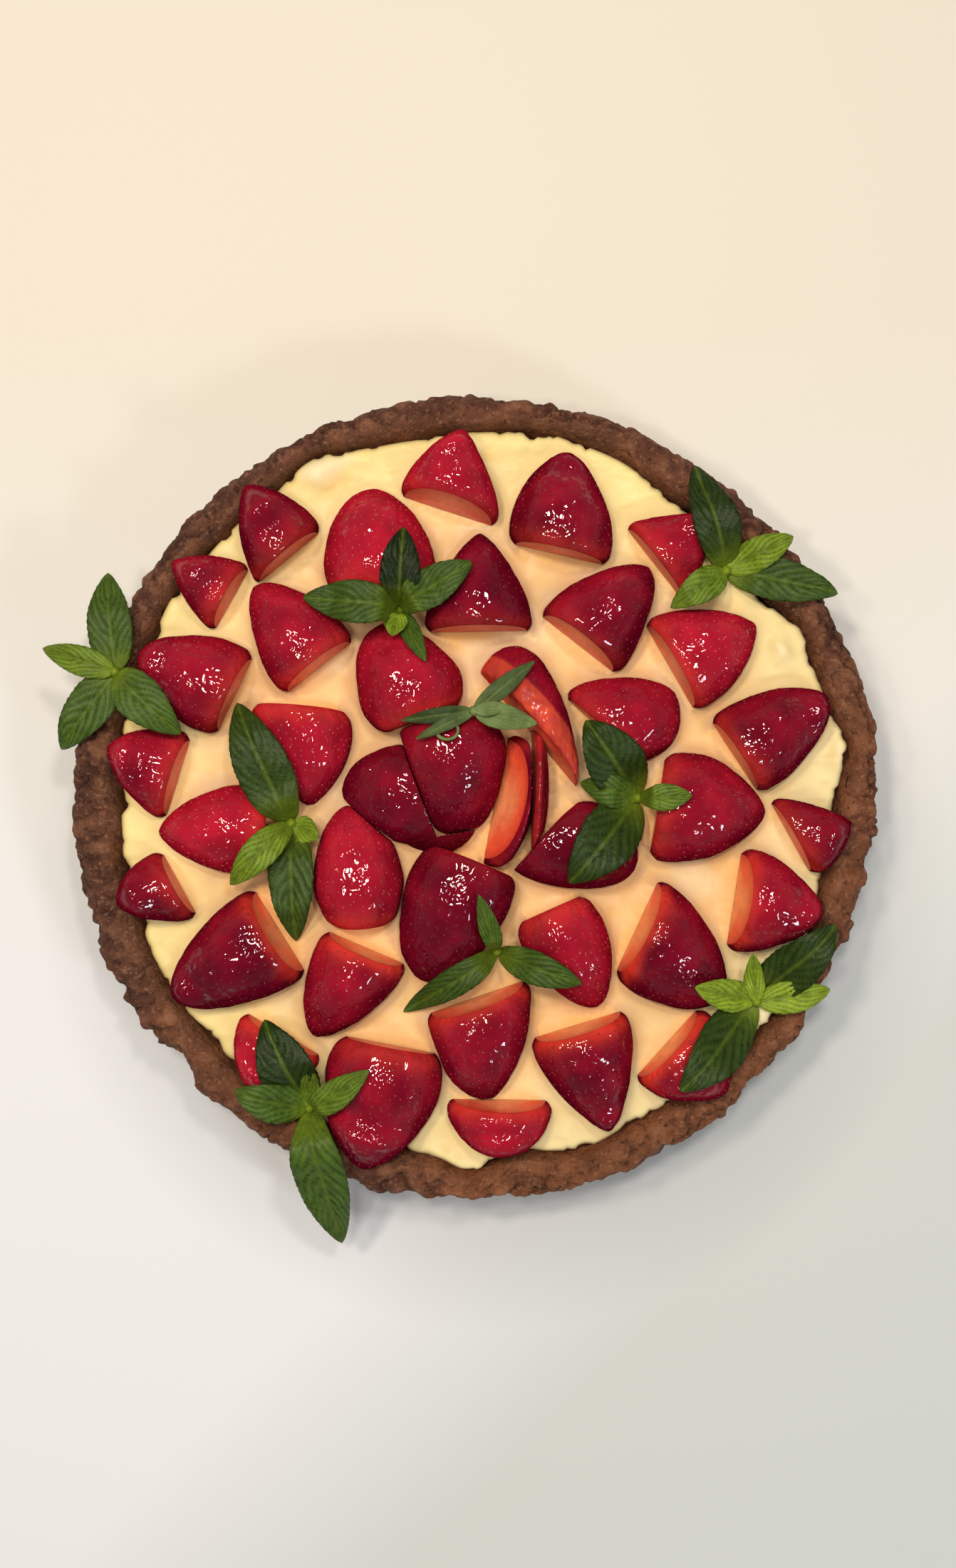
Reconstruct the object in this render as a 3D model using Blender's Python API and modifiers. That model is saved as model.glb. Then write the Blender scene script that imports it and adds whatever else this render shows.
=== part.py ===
"""Strawberry tart: a cocoa shortcrust case, pastry cream, cut strawberries and sprigs of mint.

The tart stands on its crust. The origin is the middle of the crust's flat underside, +Z is up and
lengths are in metres, except in the tables of pieces, which are in millimetres and degrees.
Run it with: blender --background --python part.py
"""
import math

import bmesh
import bpy
from mathutils import Vector, noise
from mathutils.bvhtree import BVHTree

MM = 0.001
SKY = 0.2

# Crust: a round shell with a thick, uneven rim and a flaring wall.
RIM_RADIUS = 0.1313
BASE_RADIUS = 0.1228
RIM_WIDTH = 0.0120
CRUST_HEIGHT = 0.032
FLOOR_THICKNESS = 0.006
INNER_FLARE = 0.0045
RIM_ROUND = 0.0022
CRUST_STEPS = 144
EDGE_WANDER = 0.0012
EDGE_WAVES = 5.0
EDGE_SEED = 3.1
CRAG_HEIGHT = 0.0019
CRAG_SIZE = 0.009
CRAG_SHIFT = 0.05

# Pastry cream: fills the crust almost to its rim.
CREAM_LEVEL = 0.0285
CREAM_RINGS = (0.040, 0.078, 0.100, 0.108, 0.1135)
CREAM_SIDE_GAP = 0.0005
CREAM_EDGE_ROUND = 0.0015
CREAM_EDGE_DROP = 0.0020
RIDGE_CLEARANCE = 0.007

# Berries: each lies on a flat underside with its cut stem end towards the middle of the tart.
CONTACT_GAP = 0.0003
BERRY_STATIONS = 6
BERRY_POINTS = 9
SHOULDER_LENGTH = 0.4
TAPER_POINTED = 1.25
ARCH_TAPER = 2.3
ARCH_ROUND = 0.6
SECTION_ROUND = 0.9
BERRY_LUMP = 0.05
LUMP_SIZE = 0.014
RISE_START = 0.107
RISE_END = 0.1155
RIM_CLEARANCE = 0.0019
SNAP = 0.00012

# Mint: thin leaves that lie over the fruit and meet in a short stem.
LEAF_THICKNESS = 0.0007
LEAF_STATIONS = 7
LEAF_FOOT = 0.0004
MERGE = 0.000003
LEAF_CLEARANCE = 0.0011
LEAF_SLOPE = 0.75
LEAF_FOLD = 0.20
LEAF_WAVE = 0.12
LEAF_REACH = 0.0016
LEAF_LIFT = 0.16
LEAF_DROOP = 0.42
STALK_HALF_WIDTH = 0.0006
STEM_RADIUS = 0.0020
STEM_HALF_HEIGHT = 0.0030
PAIR_SPACING = 0.0016

# Each cut berry, in mm and degrees: name, x and y of the middle of its cut edge, heading of its
# tip, greatest width, length to the tip, how far the tip stands to the left of the heading, height,
# breadth (0 for a pointed outline, 1 for a round one), lean of the cut face, and shoulder (the
# share by which the cut edge is narrower than the widest place).
BERRIES = (
    ("berry_01", -9.5, 92.5, 72, 35, 26, 3, 17, 0.20, 4.0, 0.04),
    ("berry_02", 26.5, 78.5, 77, 35, 32, 4, 18, 0.75, 0.5, 0.08),
    ("berry_03", 57.5, 75.5, 38, 32, 23, 0, 12, 0.10, 0.5, 0.02),
    ("berry_04", 32.5, 49.5, 52, 33, 34, -3, 17, 0.60, 2.5, 0.04),
    ("berry_05", 62.5, 42.0, 30, 35, 31, -2, 16, 0.50, 1.5, 0.04),
    ("berry_06", 83.5, 13.0, 33, 31, 35, 0, 17, 0.75, 0.5, 0.06),
    ("berry_07", 101.5, -13.0, 29, 29, 19, -5, 12, 0.20, 0.5, 0.04),
    ("berry_08", 83.5, -33.0, -9, 35, 28, 0, 17, 0.50, 4.0, 0.05),
    ("berry_09", 52.0, -42.0, -25, 37, 35, -8, 18, 0.80, 3.0, 0.05),
    ("berry_10", 61.5, -80.0, -42, 33, 24, 1, 14, 0.45, 2.0, 0.05),
    ("berry_11", 32.5, -74.0, -73, 34, 35, 0, 17, 0.45, 1.5, 0.05),
    ("berry_12", 7.5, -98.0, -92, 35, 18, 0, 13, 0.85, 3.0, 0.05),
    ("berry_13", -28.0, -80.5, -101, 41, 40, -1, 20, 0.70, -1.5, 0.20),
    ("berry_14", -63.0, -77.0, -120, 31, 20, 0, 10, 0.45, 1.5, 0.05),
    ("berry_15", -64.0, -43.5, -148, 34, 40, 0, 19, 0.75, 3.0, 0.05),
    ("berry_16", -96.5, -28.5, -151, 26, 20, -4, 13, 0.45, 0.5, 0.05),
    ("berry_17", -97.0, 6.0, 163, 30, 24, -3, 12, 0.45, 1.5, 0.05),
    ("berry_18", -78.5, 33.0, 155, 32, 33, 1, 17, 0.80, 0.5, 0.10),
    ("berry_19", -79.5, 64.0, 151, 25, 22, -1, 12, 0.20, 1.5, 0.02),
    ("berry_20", -61.0, 77.5, 130, 29, 26, -4, 16, 0.35, 0.5, 0.05),
    ("berry_21", -31.0, 67.0, 92, 38, 33, 2, 18, 0.85, -1.0, 0.16),
    ("berry_22", 0.5, 53.5, 91, 36, 32, -1, 17, 0.30, 1.0, 0.04),
    ("berry_23", -51.0, 42.0, 128, 30, 34, 0, 17, 0.65, 1.5, 0.05),
    ("berry_24", -17.0, 25.0, 113, 36, 34, 2, 18, 0.90, -1.5, 0.26),
    ("berry_25", -57.0, 28.5, -95, 34, 31, 5, 15, 0.50, -1.0, 0.10),
    ("berry_26", -68.5, -10.0, 180, 31, 35, 1, 15, 0.60, -1.5, 0.28),
    ("berry_27", -37.0, -41.5, 94, 31, 39, 1, 17, 1.00, -1.5, 0.36),
    ("berry_28", -36.0, -49.0, -113, 31, 33, -4, 17, 0.60, 1.5, 0.05),
    ("berry_29", -1.5, -21.0, -112, 36, 42, -1, 19, 0.95, -1.5, 0.14),
    ("berry_30", 0.0, -65.0, -71, 37, 33, -7, 16, 0.60, 3.0, 0.06),
    ("berry_31", 24.0, -36.5, -66, 29, 35, 1, 17, 0.80, -1.5, 0.20),
    ("berry_32", 40.5, 21.5, 48, 36, 25, -8, 13, 0.75, 0.5, 0.10),
    ("berry_33", 58.5, -3.0, -9, 39, 35, 3, 19, 0.60, -1.5, 0.16),
    ("berry_34", 15.0, 15.3, 43, 47, 24, 18, 16, 0.85, 8.5, 0.06),
    ("berry_35", 22.0, -11.0, -50, 36, 29, 11, 14, 0.90, -1.0, 0.12),
    ("berry_36", -65.5, -33.0, 23, 15, 13, 0, 8, 0.60, 1.0, 0.05),
    ("fan_slice_1", -14.5, 1.5, -158, 36, 28, -7, 14, 0.95, -1.0, 0.10),
    ("fan_slice_2", -9.5, 25.0, -84, 38, 38, 0, 22, 0.95, -1.5, 0.24),
    ("fan_slice_3", 5.4, -0.8, -13, 45, 13.5, -2, 18, 0.90, 11.5, 0.05),
    ("fan_slice_4", 16.8, 1.8, -3, 46, 6.5, -2, 16, 0.90, 2.0, 0.05),
    ("fan_slice_5", -13.0, -8.8, -86, 25, 10, 0, 11, 0.80, -0.5, 0.10),
)

# Each sprig, in mm and degrees: name, x and y where its leaves meet, and for each leaf its heading,
# length and width. The leaves grow in pairs, the lowest pair first.
SPRIGS = (
    ("mint_1", -116, 40, ((98, 33, 14), (-128, 31, 14), (162, 26, 9), (-43, 29, 14))),
    ("mint_2", -25, 60, ((86, 25, 12), (-63, 19, 6), (174, 30, 13), (31, 27, 12), (-102, 9, 7))),
    ("mint_3", 80.5, 73, ((107, 35, 14), (-11, 37, 13), (27, 24, 10), (-146, 22, 10))),
    ("mint_4", -60, -8.5, ((114, 42, 17), (-88, 38, 14), (-134, 27, 10), (-27, 10, 8))),
    ("mint_5", 52, -0.5, ((125, 30, 18), (-130, 35, 18), (165, 19, 10), (4, 15, 8))),
    ("mint_6", 6.5, -50, ((-147, 36, 9), (-19, 28, 10), (107, 20, 6))),
    ("mint_7", 90, -66, ((46, 35, 15), (-134, 37, 16), (9, 24, 10), (164, 22, 10), (98, 16, 6))),
    ("mint_8", -54, -100.5,
     ((116, 32, 17), (-79, 48, 16), (163, 24, 12), (37, 25, 9), (86, 15, 6))),
    ("calyx", -1, 27, ((40, 25, 5.5), (-173, 23, 4.5), (-11, 20, 7.5), (-154, 20, 3.5), (8, 11, 4))),
)

# How the crust's outer edge strays from a circle, in mm and degrees: bearing from +X, half the
# spread round the crust, and how far outwards. The deep ones are places where it is broken away.
OUTER_SHAPE = (
    (178, 16, 0.6),
    (140, 20, -1.5),
    (60, 40, -1.8),
    (5, 12, 0.8),
    (-25, 14, -2.2),
    (-32, 2.5, -2.5),
    (-48, 6, -1.5),
    (-108, 14, 0.8),
    (-131, 6, -1.5),
    (-139, 3.0, -3.5),
    (-158, 14, 0.9),
)

# The same for its inner edge: outwards where the cream laps over a thin rim, inwards where it is thick.
INNER_SHAPE = (
    (180, 9, -1.5),
    (148, 4, 1.0),
    (116, 7, 4.5),
    (78, 12, 2.5),
    (58, 7, -2.0),
    (36, 5, -3.5),
    (27, 3, 1.5),
    (8, 4, 4.0),
    (-11, 9, -2.5),
    (-36, 4, 3.0),
    (-50, 4, 4.0),
    (-72, 5, 1.5),
    (-83, 3, -2.0),
    (-91, 4, 4.0),
    (-160, 6, -1.5),
)

# Ridges where the cream is swept up against the crust, in mm and degrees: bearing from +X,
# distance from the middle, length round the crust, width and height.
CREAM_RIDGES = (
    (116, 117, 28, 10, 3.5),
    (27, 108, 16, 8, 3.5),
    (8, 117, 18, 9, 3.5),
    (78, 115, 36, 9, 2.0),
    (148, 114, 14, 7, 1.5),
    (-36, 117, 14, 8, 3.0),
    (-50, 118, 14, 8, 3.5),
    (-91, 117, 18, 8, 3.5),
    (-73, 115, 20, 7, 1.5),
    (-132, 114, 16, 7, 1.5),
)

COLOURS = {
    "crust": (0.125, 0.058, 0.034),
    "cream": (0.87, 0.66, 0.30),
    "berry": (0.40, 0.010, 0.016),
    "mint": (0.045, 0.13, 0.022),
    "sepal": (0.13, 0.22, 0.075),
}
ROUGHNESS = {"crust": 0.85, "cream": 0.35, "berry": 0.18, "mint": 0.5, "sepal": 0.5}


def clear_scene():
    """Remove whatever a new Blender file holds."""
    for obj in list(bpy.data.objects):
        bpy.data.objects.remove(obj)


def make_material(name):
    """A Principled material in the part's own colour."""
    material = bpy.data.materials.new(name)
    material.use_nodes = True
    shader = material.node_tree.nodes["Principled BSDF"]
    shader.inputs["Base Color"].default_value = (*COLOURS[name], 1.0)
    shader.inputs["Roughness"].default_value = ROUGHNESS[name]
    shader.inputs["Metallic"].default_value = 0.0
    return material


def make_object(name, mesh, material, collection):
    """A named object with one material."""
    mesh.materials.clear()
    mesh.materials.append(material)
    obj = bpy.data.objects.new(name, mesh)
    collection.objects.link(obj)
    return obj


def evaluated_mesh(obj):
    """The object's mesh with its modifiers applied."""
    graph = bpy.context.evaluated_depsgraph_get()
    graph.update()
    return bpy.data.meshes.new_from_object(obj.evaluated_get(graph))


def smoothstep(low, high, value):
    """0 below low, 1 above high, and a smooth climb between them."""
    s = min(max((value - low) / (high - low), 0.0), 1.0)
    return s * s * (3.0 - 2.0 * s)


def turned_mesh(name, profile, steps, collection):
    """The mesh that a profile in the XZ plane makes when it is turned round Z."""
    mesh = bpy.data.meshes.new(name)
    bm = bmesh.new()
    points = [bm.verts.new((r, 0.0, z)) for r, z in profile]
    for start, end in zip(points, points[1:]):
        bm.edges.new((start, end))
    bm.to_mesh(mesh)
    bm.free()
    obj = bpy.data.objects.new(name, mesh)
    collection.objects.link(obj)
    screw = obj.modifiers.new("turn", "SCREW")
    screw.steps = steps
    screw.render_steps = steps
    screw.use_merge_vertices = True
    screw.merge_threshold = 0.0001
    turned = evaluated_mesh(obj)
    bpy.data.objects.remove(obj)
    return turned


def shaped(angle, shape):
    """How far an edge is moved outwards at a bearing."""
    move = 0.0
    for bearing, spread, reach in shape:
        turn = math.remainder(angle - math.radians(bearing), math.tau) / math.radians(spread)
        move += reach * MM * math.exp(-turn * turn)
    return move


def outer_move(angle):
    """How far the crust's outer edge strays from a true circle."""
    place = Vector((EDGE_WAVES * math.cos(angle), EDGE_WAVES * math.sin(angle), EDGE_SEED))
    return shaped(angle, OUTER_SHAPE) + EDGE_WANDER * noise.noise(place)


def inner_move(angle):
    """How far the crust's inner edge, and the cream's edge with it, strays from a true circle."""
    place = Vector((EDGE_WAVES * math.cos(angle), EDGE_WAVES * math.sin(angle), -EDGE_SEED))
    return shaped(angle, INNER_SHAPE) + EDGE_WANDER * noise.noise(place)


def crag(point):
    """Small uneven relief of baked dough."""
    return CRAG_HEIGHT * noise.noise(point / CRAG_SIZE)


def inner_radius(height):
    """Radius of the crust's inner wall at a height, before it wanders."""
    top = RIM_RADIUS - RIM_WIDTH
    share = (height - FLOOR_THICKNESS) / (CRUST_HEIGHT - FLOOR_THICKNESS)
    return top - INNER_FLARE * (1.0 - share)


def crust_mesh(collection):
    """The shell: floor, inner wall, rounded craggy rim and outer wall."""
    rim = RIM_RADIUS - RIM_WIDTH
    shoulder = CRUST_HEIGHT - RIM_ROUND
    profile = (
        (0.0, FLOOR_THICKNESS),
        (inner_radius(FLOOR_THICKNESS), FLOOR_THICKNESS),
        (inner_radius(shoulder), shoulder),
        (rim + RIM_ROUND, CRUST_HEIGHT),
        (RIM_RADIUS - 1.8 * RIM_ROUND, CRUST_HEIGHT),
        (RIM_RADIUS, shoulder - RIM_ROUND),
        ((RIM_RADIUS + BASE_RADIUS) / 2.0, 0.4 * CRUST_HEIGHT),
        (BASE_RADIUS, 0.0),
        (0.0, 0.0),
    )
    mesh = turned_mesh("crust", profile, CRUST_STEPS, collection)
    for vertex in mesh.vertices:
        x, y, z = vertex.co
        radius = math.hypot(x, y)
        if radius < 0.5 * RIM_RADIUS:
            continue
        angle = math.atan2(y, x)
        outward = Vector((x, y, 0.0)) / radius
        outer_share = smoothstep(inner_radius(z) + 0.3 * RIM_WIDTH, RIM_RADIUS, radius)
        if z < 0.4 * CRUST_HEIGHT and radius > inner_radius(FLOOR_THICKNESS) + 0.001:
            outer_share = 1.0
        move = (1.0 - outer_share) * inner_move(angle)
        move += outer_share * (outer_move(angle) + crag(vertex.co.copy()))
        vertex.co += outward * move
        if z > 0.9 * CRUST_HEIGHT:
            vertex.co.z += crag(vertex.co + Vector((CRAG_SHIFT, 0.0, 0.0)))
    return mesh


def berry_floor(x, y):
    """Height on which a berry lies: just over the cream, and over the crust's rim near the edge."""
    over_cream = CREAM_LEVEL + CONTACT_GAP
    over_rim = CRUST_HEIGHT + RIM_CLEARANCE
    rise = smoothstep(RISE_START, RISE_END, math.hypot(x, y))
    return over_cream + (over_rim - over_cream) * rise


def berry_section(berry, t, points):
    """Ring of a cut berry at share t of its length: an arch over a flat underside."""
    name, x, y, heading, width, length, skew, height, breadth, lean, shoulder = berry
    turn = math.radians(heading)
    fore = Vector((math.cos(turn), math.sin(turn), 0.0))
    left = Vector((-math.sin(turn), math.cos(turn), 0.0))
    seed = Vector((x, y, height))
    pinch = shoulder * max(1.0 - t / SHOULDER_LENGTH, 0.0) ** 2
    half_width = 0.5 * width * (1.0 - t ** (TAPER_POINTED + breadth)) ** (0.9 - 0.4 * breadth)
    half_width *= 1.0 - pinch
    arch = height * (1.0 - t ** ARCH_TAPER) ** ARCH_ROUND * (1.0 - pinch)
    ring = []
    for index in range(points):
        angle = math.pi * index / (points - 1)
        side = math.cos(angle)
        up = math.sin(angle) ** SECTION_ROUND
        along = length * t + lean * up * (1.0 - t) * arch / height
        across = half_width * side + skew * t
        place = (Vector((x, y, 0.0)) + fore * along + left * across) * MM
        lump = BERRY_LUMP * noise.noise((place + seed) / LUMP_SIZE)
        place += left * (half_width * side * lump * MM)
        place.z = berry_floor(place.x, place.y) + arch * up * (1.0 + lump) * MM
        ring.append(place)
    return ring


def berry_bmesh(berry):
    """A closed cut berry: rings from the cut face towards the tip, and the tip itself."""
    bm = bmesh.new()
    rings = []
    for station in range(BERRY_STATIONS):
        t = math.sin(0.5 * math.pi * station / BERRY_STATIONS)
        rings.append([bm.verts.new(point) for point in berry_section(berry, t, BERRY_POINTS)])
    end = berry_section(berry, 1.0, 3)
    tip = bm.verts.new(end[0])
    bm.faces.new(rings[0])
    for ring, following in zip(rings, rings[1:]):
        for index in range(BERRY_POINTS):
            after = (index + 1) % BERRY_POINTS
            bm.faces.new((ring[index], following[index], following[after], ring[after]))
    for index in range(BERRY_POINTS):
        after = (index + 1) % BERRY_POINTS
        bm.faces.new((rings[-1][index], tip, rings[-1][after]))
    bmesh.ops.recalc_face_normals(bm, faces=bm.faces)
    return bm


def cut_directions():
    """Directions in which two touching berries may be parted."""
    directions = []
    for tilt in (-40, -20, 0, 20, 40):
        for step in range(36):
            turn = math.radians(10 * step)
            lean = math.radians(tilt)
            level = math.cos(lean)
            direction = Vector((level * math.cos(turn), level * math.sin(turn), math.sin(lean)))
            directions.append(direction)
    return directions


def shallowest_cut(first, second, directions):
    """The direction in which two solids overlap least, that overlap, and the middle of it."""
    best = None
    for direction in directions:
        reach = max(direction.dot(v.co) for v in first.verts)
        start = min(direction.dot(v.co) for v in second.verts)
        if best is None or reach - start < best[1]:
            best = (direction, reach - start, 0.5 * (reach + start))
        if best[1] < -CONTACT_GAP:
            break
    return best


def trim(bm, direction, level):
    """Cut off what lies beyond the plane at that level along the direction, and close the cut."""
    geometry = list(bm.verts) + list(bm.edges) + list(bm.faces)
    bmesh.ops.bisect_plane(bm, geom=geometry, dist=SNAP, plane_co=direction * level,
                           plane_no=direction, clear_outer=True)
    open_edges = [edge for edge in bm.edges if edge.is_boundary]
    bmesh.ops.holes_fill(bm, edges=open_edges, sides=0)
    bmesh.ops.remove_doubles(bm, verts=bm.verts, dist=SNAP)
    bmesh.ops.dissolve_degenerate(bm, edges=bm.edges, dist=SNAP / 4.0)


def part_neighbours(solids):
    """Trim berries that press against each other, so that a gap stays between their cuts."""
    directions = cut_directions()
    margin = 0.5 * CONTACT_GAP + SNAP
    for index, first in enumerate(solids):
        for second in solids[index + 1:]:
            direction, overlap, middle = shallowest_cut(first, second, directions)
            if overlap > -CONTACT_GAP:
                trim(first, direction, middle - margin)
                trim(second, -direction, -middle - margin)


def finish_mesh(bm, name):
    """Turn a bmesh into a mesh of triangles with its faces pointing out."""
    bmesh.ops.triangulate(bm, faces=bm.faces)
    bmesh.ops.recalc_face_normals(bm, faces=bm.faces)
    mesh = bpy.data.meshes.new(name)
    bm.to_mesh(mesh)
    bm.free()
    return mesh


def footprints(solids):
    """Points of the berries' undersides, from which the cream's ridges keep away."""
    return [Vector((v.co.x, v.co.y)) for bm in solids for v in bm.verts]


def cream_relief(x, y, kept_clear):
    """Height of the cream's swept ridges over its level, falling to nothing near a berry."""
    relief = 0.0
    angle = math.atan2(y, x)
    radius = math.hypot(x, y)
    for bearing, distance, length, width, height in CREAM_RIDGES:
        turn = math.remainder(angle - math.radians(bearing), math.tau)
        along = turn * radius / (0.5 * length * MM)
        across = (radius - distance * MM) / (0.5 * width * MM)
        relief += height * MM * math.exp(-along * along - across * across)
    nearest = min(math.hypot(x - p.x, y - p.y) for p in kept_clear)
    return relief * smoothstep(RIDGE_CLEARANCE * 0.5, RIDGE_CLEARANCE * 1.6, nearest)


def cream_mesh(kept_clear, collection):
    """The filling: flat under the berries, swept up at the crust, and clear of the crust."""
    edge = inner_radius(CREAM_LEVEL - CREAM_EDGE_DROP) - CREAM_SIDE_GAP
    under = FLOOR_THICKNESS + CONTACT_GAP
    foot = inner_radius(under) - CREAM_SIDE_GAP
    profile = [(0.0, CREAM_LEVEL)]
    profile += [(radius, CREAM_LEVEL) for radius in CREAM_RINGS]
    profile += [(edge - CREAM_EDGE_ROUND, CREAM_LEVEL), (edge, CREAM_LEVEL - CREAM_EDGE_DROP)]
    profile += [(foot, under), (0.0, under)]
    mesh = turned_mesh("cream", profile, CRUST_STEPS, collection)
    for vertex in mesh.vertices:
        x, y, z = vertex.co
        radius = math.hypot(x, y)
        if z > CREAM_LEVEL - 0.0001:
            vertex.co.z += cream_relief(x, y, kept_clear)
        if radius > CREAM_RINGS[0]:
            share = 1.0 if z < CREAM_LEVEL - CREAM_EDGE_DROP else smoothstep(
                CREAM_RINGS[-3], edge - CREAM_EDGE_ROUND, radius)
            outward = Vector((x, y, 0.0)) / radius
            vertex.co += outward * (share * inner_move(math.atan2(y, x)))
    return mesh


def support_tree(meshes):
    """A search tree over the surfaces that the mint lies on."""
    points = []
    faces = []
    for mesh in meshes:
        offset = len(points)
        points += [v.co.copy() for v in mesh.vertices]
        faces += [[offset + index for index in face.vertices] for face in mesh.polygons]
    return BVHTree.FromPolygons(points, faces)


def support_height(tree, x, y, reach):
    """Highest surface within a short reach of a point in plan, or 0 beside the tart."""
    heights = [0.0]
    for step_x in (-1, 0, 1):
        for step_y in (-1, 0, 1):
            start = Vector((x + reach * step_x, y + reach * step_y, SKY))
            hit = tree.ray_cast(start, Vector((0.0, 0.0, -1.0)))[0]
            if hit is not None:
                heights.append(hit.z)
    return max(heights)


def leaf_half_width(width, s):
    """Half the width of a leaf at share s of its length: oval, with a narrow foot and a point."""
    oval = max(math.sin(math.pi * s ** 0.8), 0.0) ** 0.7
    return 0.5 * width * oval + STALK_HALF_WIDTH * (1.0 - s)


def leaf_rise(tree, centre, fore, left, length, width, above):
    """Heights of a leaf's midrib: over all that it crosses, with a limited slope, and drooping."""
    foot = centre.z + above - PAIR_SPACING
    stations = [index / LEAF_STATIONS for index in range(LEAF_STATIONS + 1)]
    under = []
    for s in stations:
        half = leaf_half_width(width, s)
        middle = centre + fore * (s * length)
        spots = [middle + left * (half * v) for v in (-1.0, -0.5, 0.0, 0.5, 1.0)]
        under.append(max(support_height(tree, p.x, p.y, LEAF_REACH) for p in spots))
    heights = []
    for s in stations:
        lifted = [h - LEAF_SLOPE * abs(s - other) * length for h, other in zip(under, stations)]
        droop = foot + length * (LEAF_LIFT * s - LEAF_DROOP * s * s)
        heights.append(max(max(lifted) + LEAF_CLEARANCE + above, droop))
    heights[0] = foot
    return heights


def leaf_object(tree, centre, leaf, place_in_sprig, material, collection):
    """A thin wavy leaf: a grid bent over what it lies on, then given its thickness."""
    above = PAIR_SPACING * (place_in_sprig // 2)
    phase = 1.7 * place_in_sprig
    heading, length, width = leaf[0], leaf[1] * MM, leaf[2] * MM
    turn = math.radians(heading)
    fore = Vector((math.cos(turn), math.sin(turn), 0.0))
    left = Vector((-math.sin(turn), math.cos(turn), 0.0))
    heights = leaf_rise(tree, centre, fore, left, length, width, above)
    bm = bmesh.new()
    bmesh.ops.create_grid(bm, x_segments=LEAF_STATIONS, y_segments=2, size=1.0)
    for vertex in bm.verts:
        s = 0.5 * (vertex.co.x + 1.0)
        side = vertex.co.y
        half = leaf_half_width(width, s)
        place = centre + fore * (LEAF_FOOT + s * length) + left * (half * side)
        place.z = heights[round(s * LEAF_STATIONS)]
        fold = LEAF_FOLD + LEAF_WAVE * math.sin(9.0 * s + phase + side)
        place.z += abs(side) * half * fold * smoothstep(0.0, 0.4, s)
        vertex.co = place
    bmesh.ops.remove_doubles(bm, verts=bm.verts, dist=0.0003)
    bmesh.ops.triangulate(bm, faces=bm.faces)
    bmesh.ops.recalc_face_normals(bm, faces=bm.faces)
    if sum(face.normal.z for face in bm.faces) < 0.0:
        bmesh.ops.reverse_faces(bm, faces=bm.faces)
    mesh = bpy.data.meshes.new("leaf")
    bm.to_mesh(mesh)
    bm.free()
    obj = make_object("leaf", mesh, material, collection)
    thickness = obj.modifiers.new("thickness", "SOLIDIFY")
    thickness.thickness = LEAF_THICKNESS
    thickness.offset = 1.0
    return obj


def body_of(start):
    """All the vertices joined to one vertex by edges."""
    found = {start}
    waiting = [start]
    while waiting:
        vertex = waiting.pop()
        for edge in vertex.link_edges:
            other = edge.other_vert(vertex)
            if other not in found:
                found.add(other)
                waiting.append(other)
    return found


def tidy_mesh(mesh):
    """Merge the tiny edges that a union leaves where thin leaves cross, and drop loose scraps."""
    bm = bmesh.new()
    bm.from_mesh(mesh)
    bmesh.ops.triangulate(bm, faces=bm.faces)
    bmesh.ops.remove_doubles(bm, verts=bm.verts, dist=MERGE)
    bmesh.ops.dissolve_degenerate(bm, edges=bm.edges, dist=MERGE)
    bmesh.ops.triangulate(bm, faces=bm.faces)
    highest = max(bm.verts, key=lambda vertex: vertex.co.z)
    sprig = body_of(highest)
    scraps = [vertex for vertex in bm.verts if vertex not in sprig]
    bmesh.ops.delete(bm, geom=scraps, context="VERTS")
    bm.to_mesh(mesh)
    bm.free()
    return mesh


def sprig_mesh(tree, sprig, material, collection):
    """A stem and its leaves, joined into one solid."""
    name, x, y, leaves = sprig
    lift = CONTACT_GAP + STEM_HALF_HEIGHT
    centre = Vector((x * MM, y * MM, 0.0))
    centre.z = support_height(tree, centre.x, centre.y, STEM_RADIUS) + lift
    joined = bpy.data.collections.new(name + "_leaves")
    bpy.context.scene.collection.children.link(joined)
    for index, leaf in enumerate(leaves):
        leaf_object(tree, centre, leaf, index, material, joined)
    bm = bmesh.new()
    bmesh.ops.create_uvsphere(bm, u_segments=8, v_segments=5, radius=STEM_RADIUS)
    bmesh.ops.scale(bm, verts=bm.verts, vec=(1.0, 1.0, STEM_HALF_HEIGHT / STEM_RADIUS))
    bmesh.ops.translate(bm, verts=bm.verts, vec=centre)
    mesh = bpy.data.meshes.new(name)
    bm.to_mesh(mesh)
    bm.free()
    stem = make_object(name, mesh, material, collection)
    union = stem.modifiers.new("join", "BOOLEAN")
    union.operation = "UNION"
    union.operand_type = "COLLECTION"
    union.collection = joined
    union.solver = "EXACT"
    fused = tidy_mesh(evaluated_mesh(stem))
    bpy.data.objects.remove(stem)
    for obj in list(joined.objects):
        bpy.data.objects.remove(obj)
    bpy.data.collections.remove(joined)
    return fused


def main():
    """Build the tart from its crust up."""
    clear_scene()
    tart = bpy.data.collections.new("strawberry_tart")
    bpy.context.scene.collection.children.link(tart)
    materials = {name: make_material(name) for name in COLOURS}

    crust = crust_mesh(tart)
    make_object("crust", crust, materials["crust"], tart)

    solids = [berry_bmesh(berry) for berry in BERRIES]
    part_neighbours(solids)
    cream = cream_mesh(footprints(solids), tart)
    make_object("cream", cream, materials["cream"], tart)

    lower = [crust, cream]
    for berry, solid in zip(BERRIES, solids):
        mesh = finish_mesh(solid, berry[0])
        obj = make_object(berry[0], mesh, materials["berry"], tart)
        obj.data.shade_smooth()
        lower.append(mesh)

    tree = support_tree(lower)
    for sprig in SPRIGS:
        kind = "sepal" if sprig[0] == "calyx" else "mint"
        mesh = sprig_mesh(tree, sprig, materials[kind], tart)
        make_object(sprig[0], mesh, materials[kind], tart)


main()
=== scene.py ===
import math
import random

import bmesh
import bpy
import numpy as np
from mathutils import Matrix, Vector, noise
from mathutils.bvhtree import BVHTree
from mathutils.kdtree import KDTree


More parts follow.
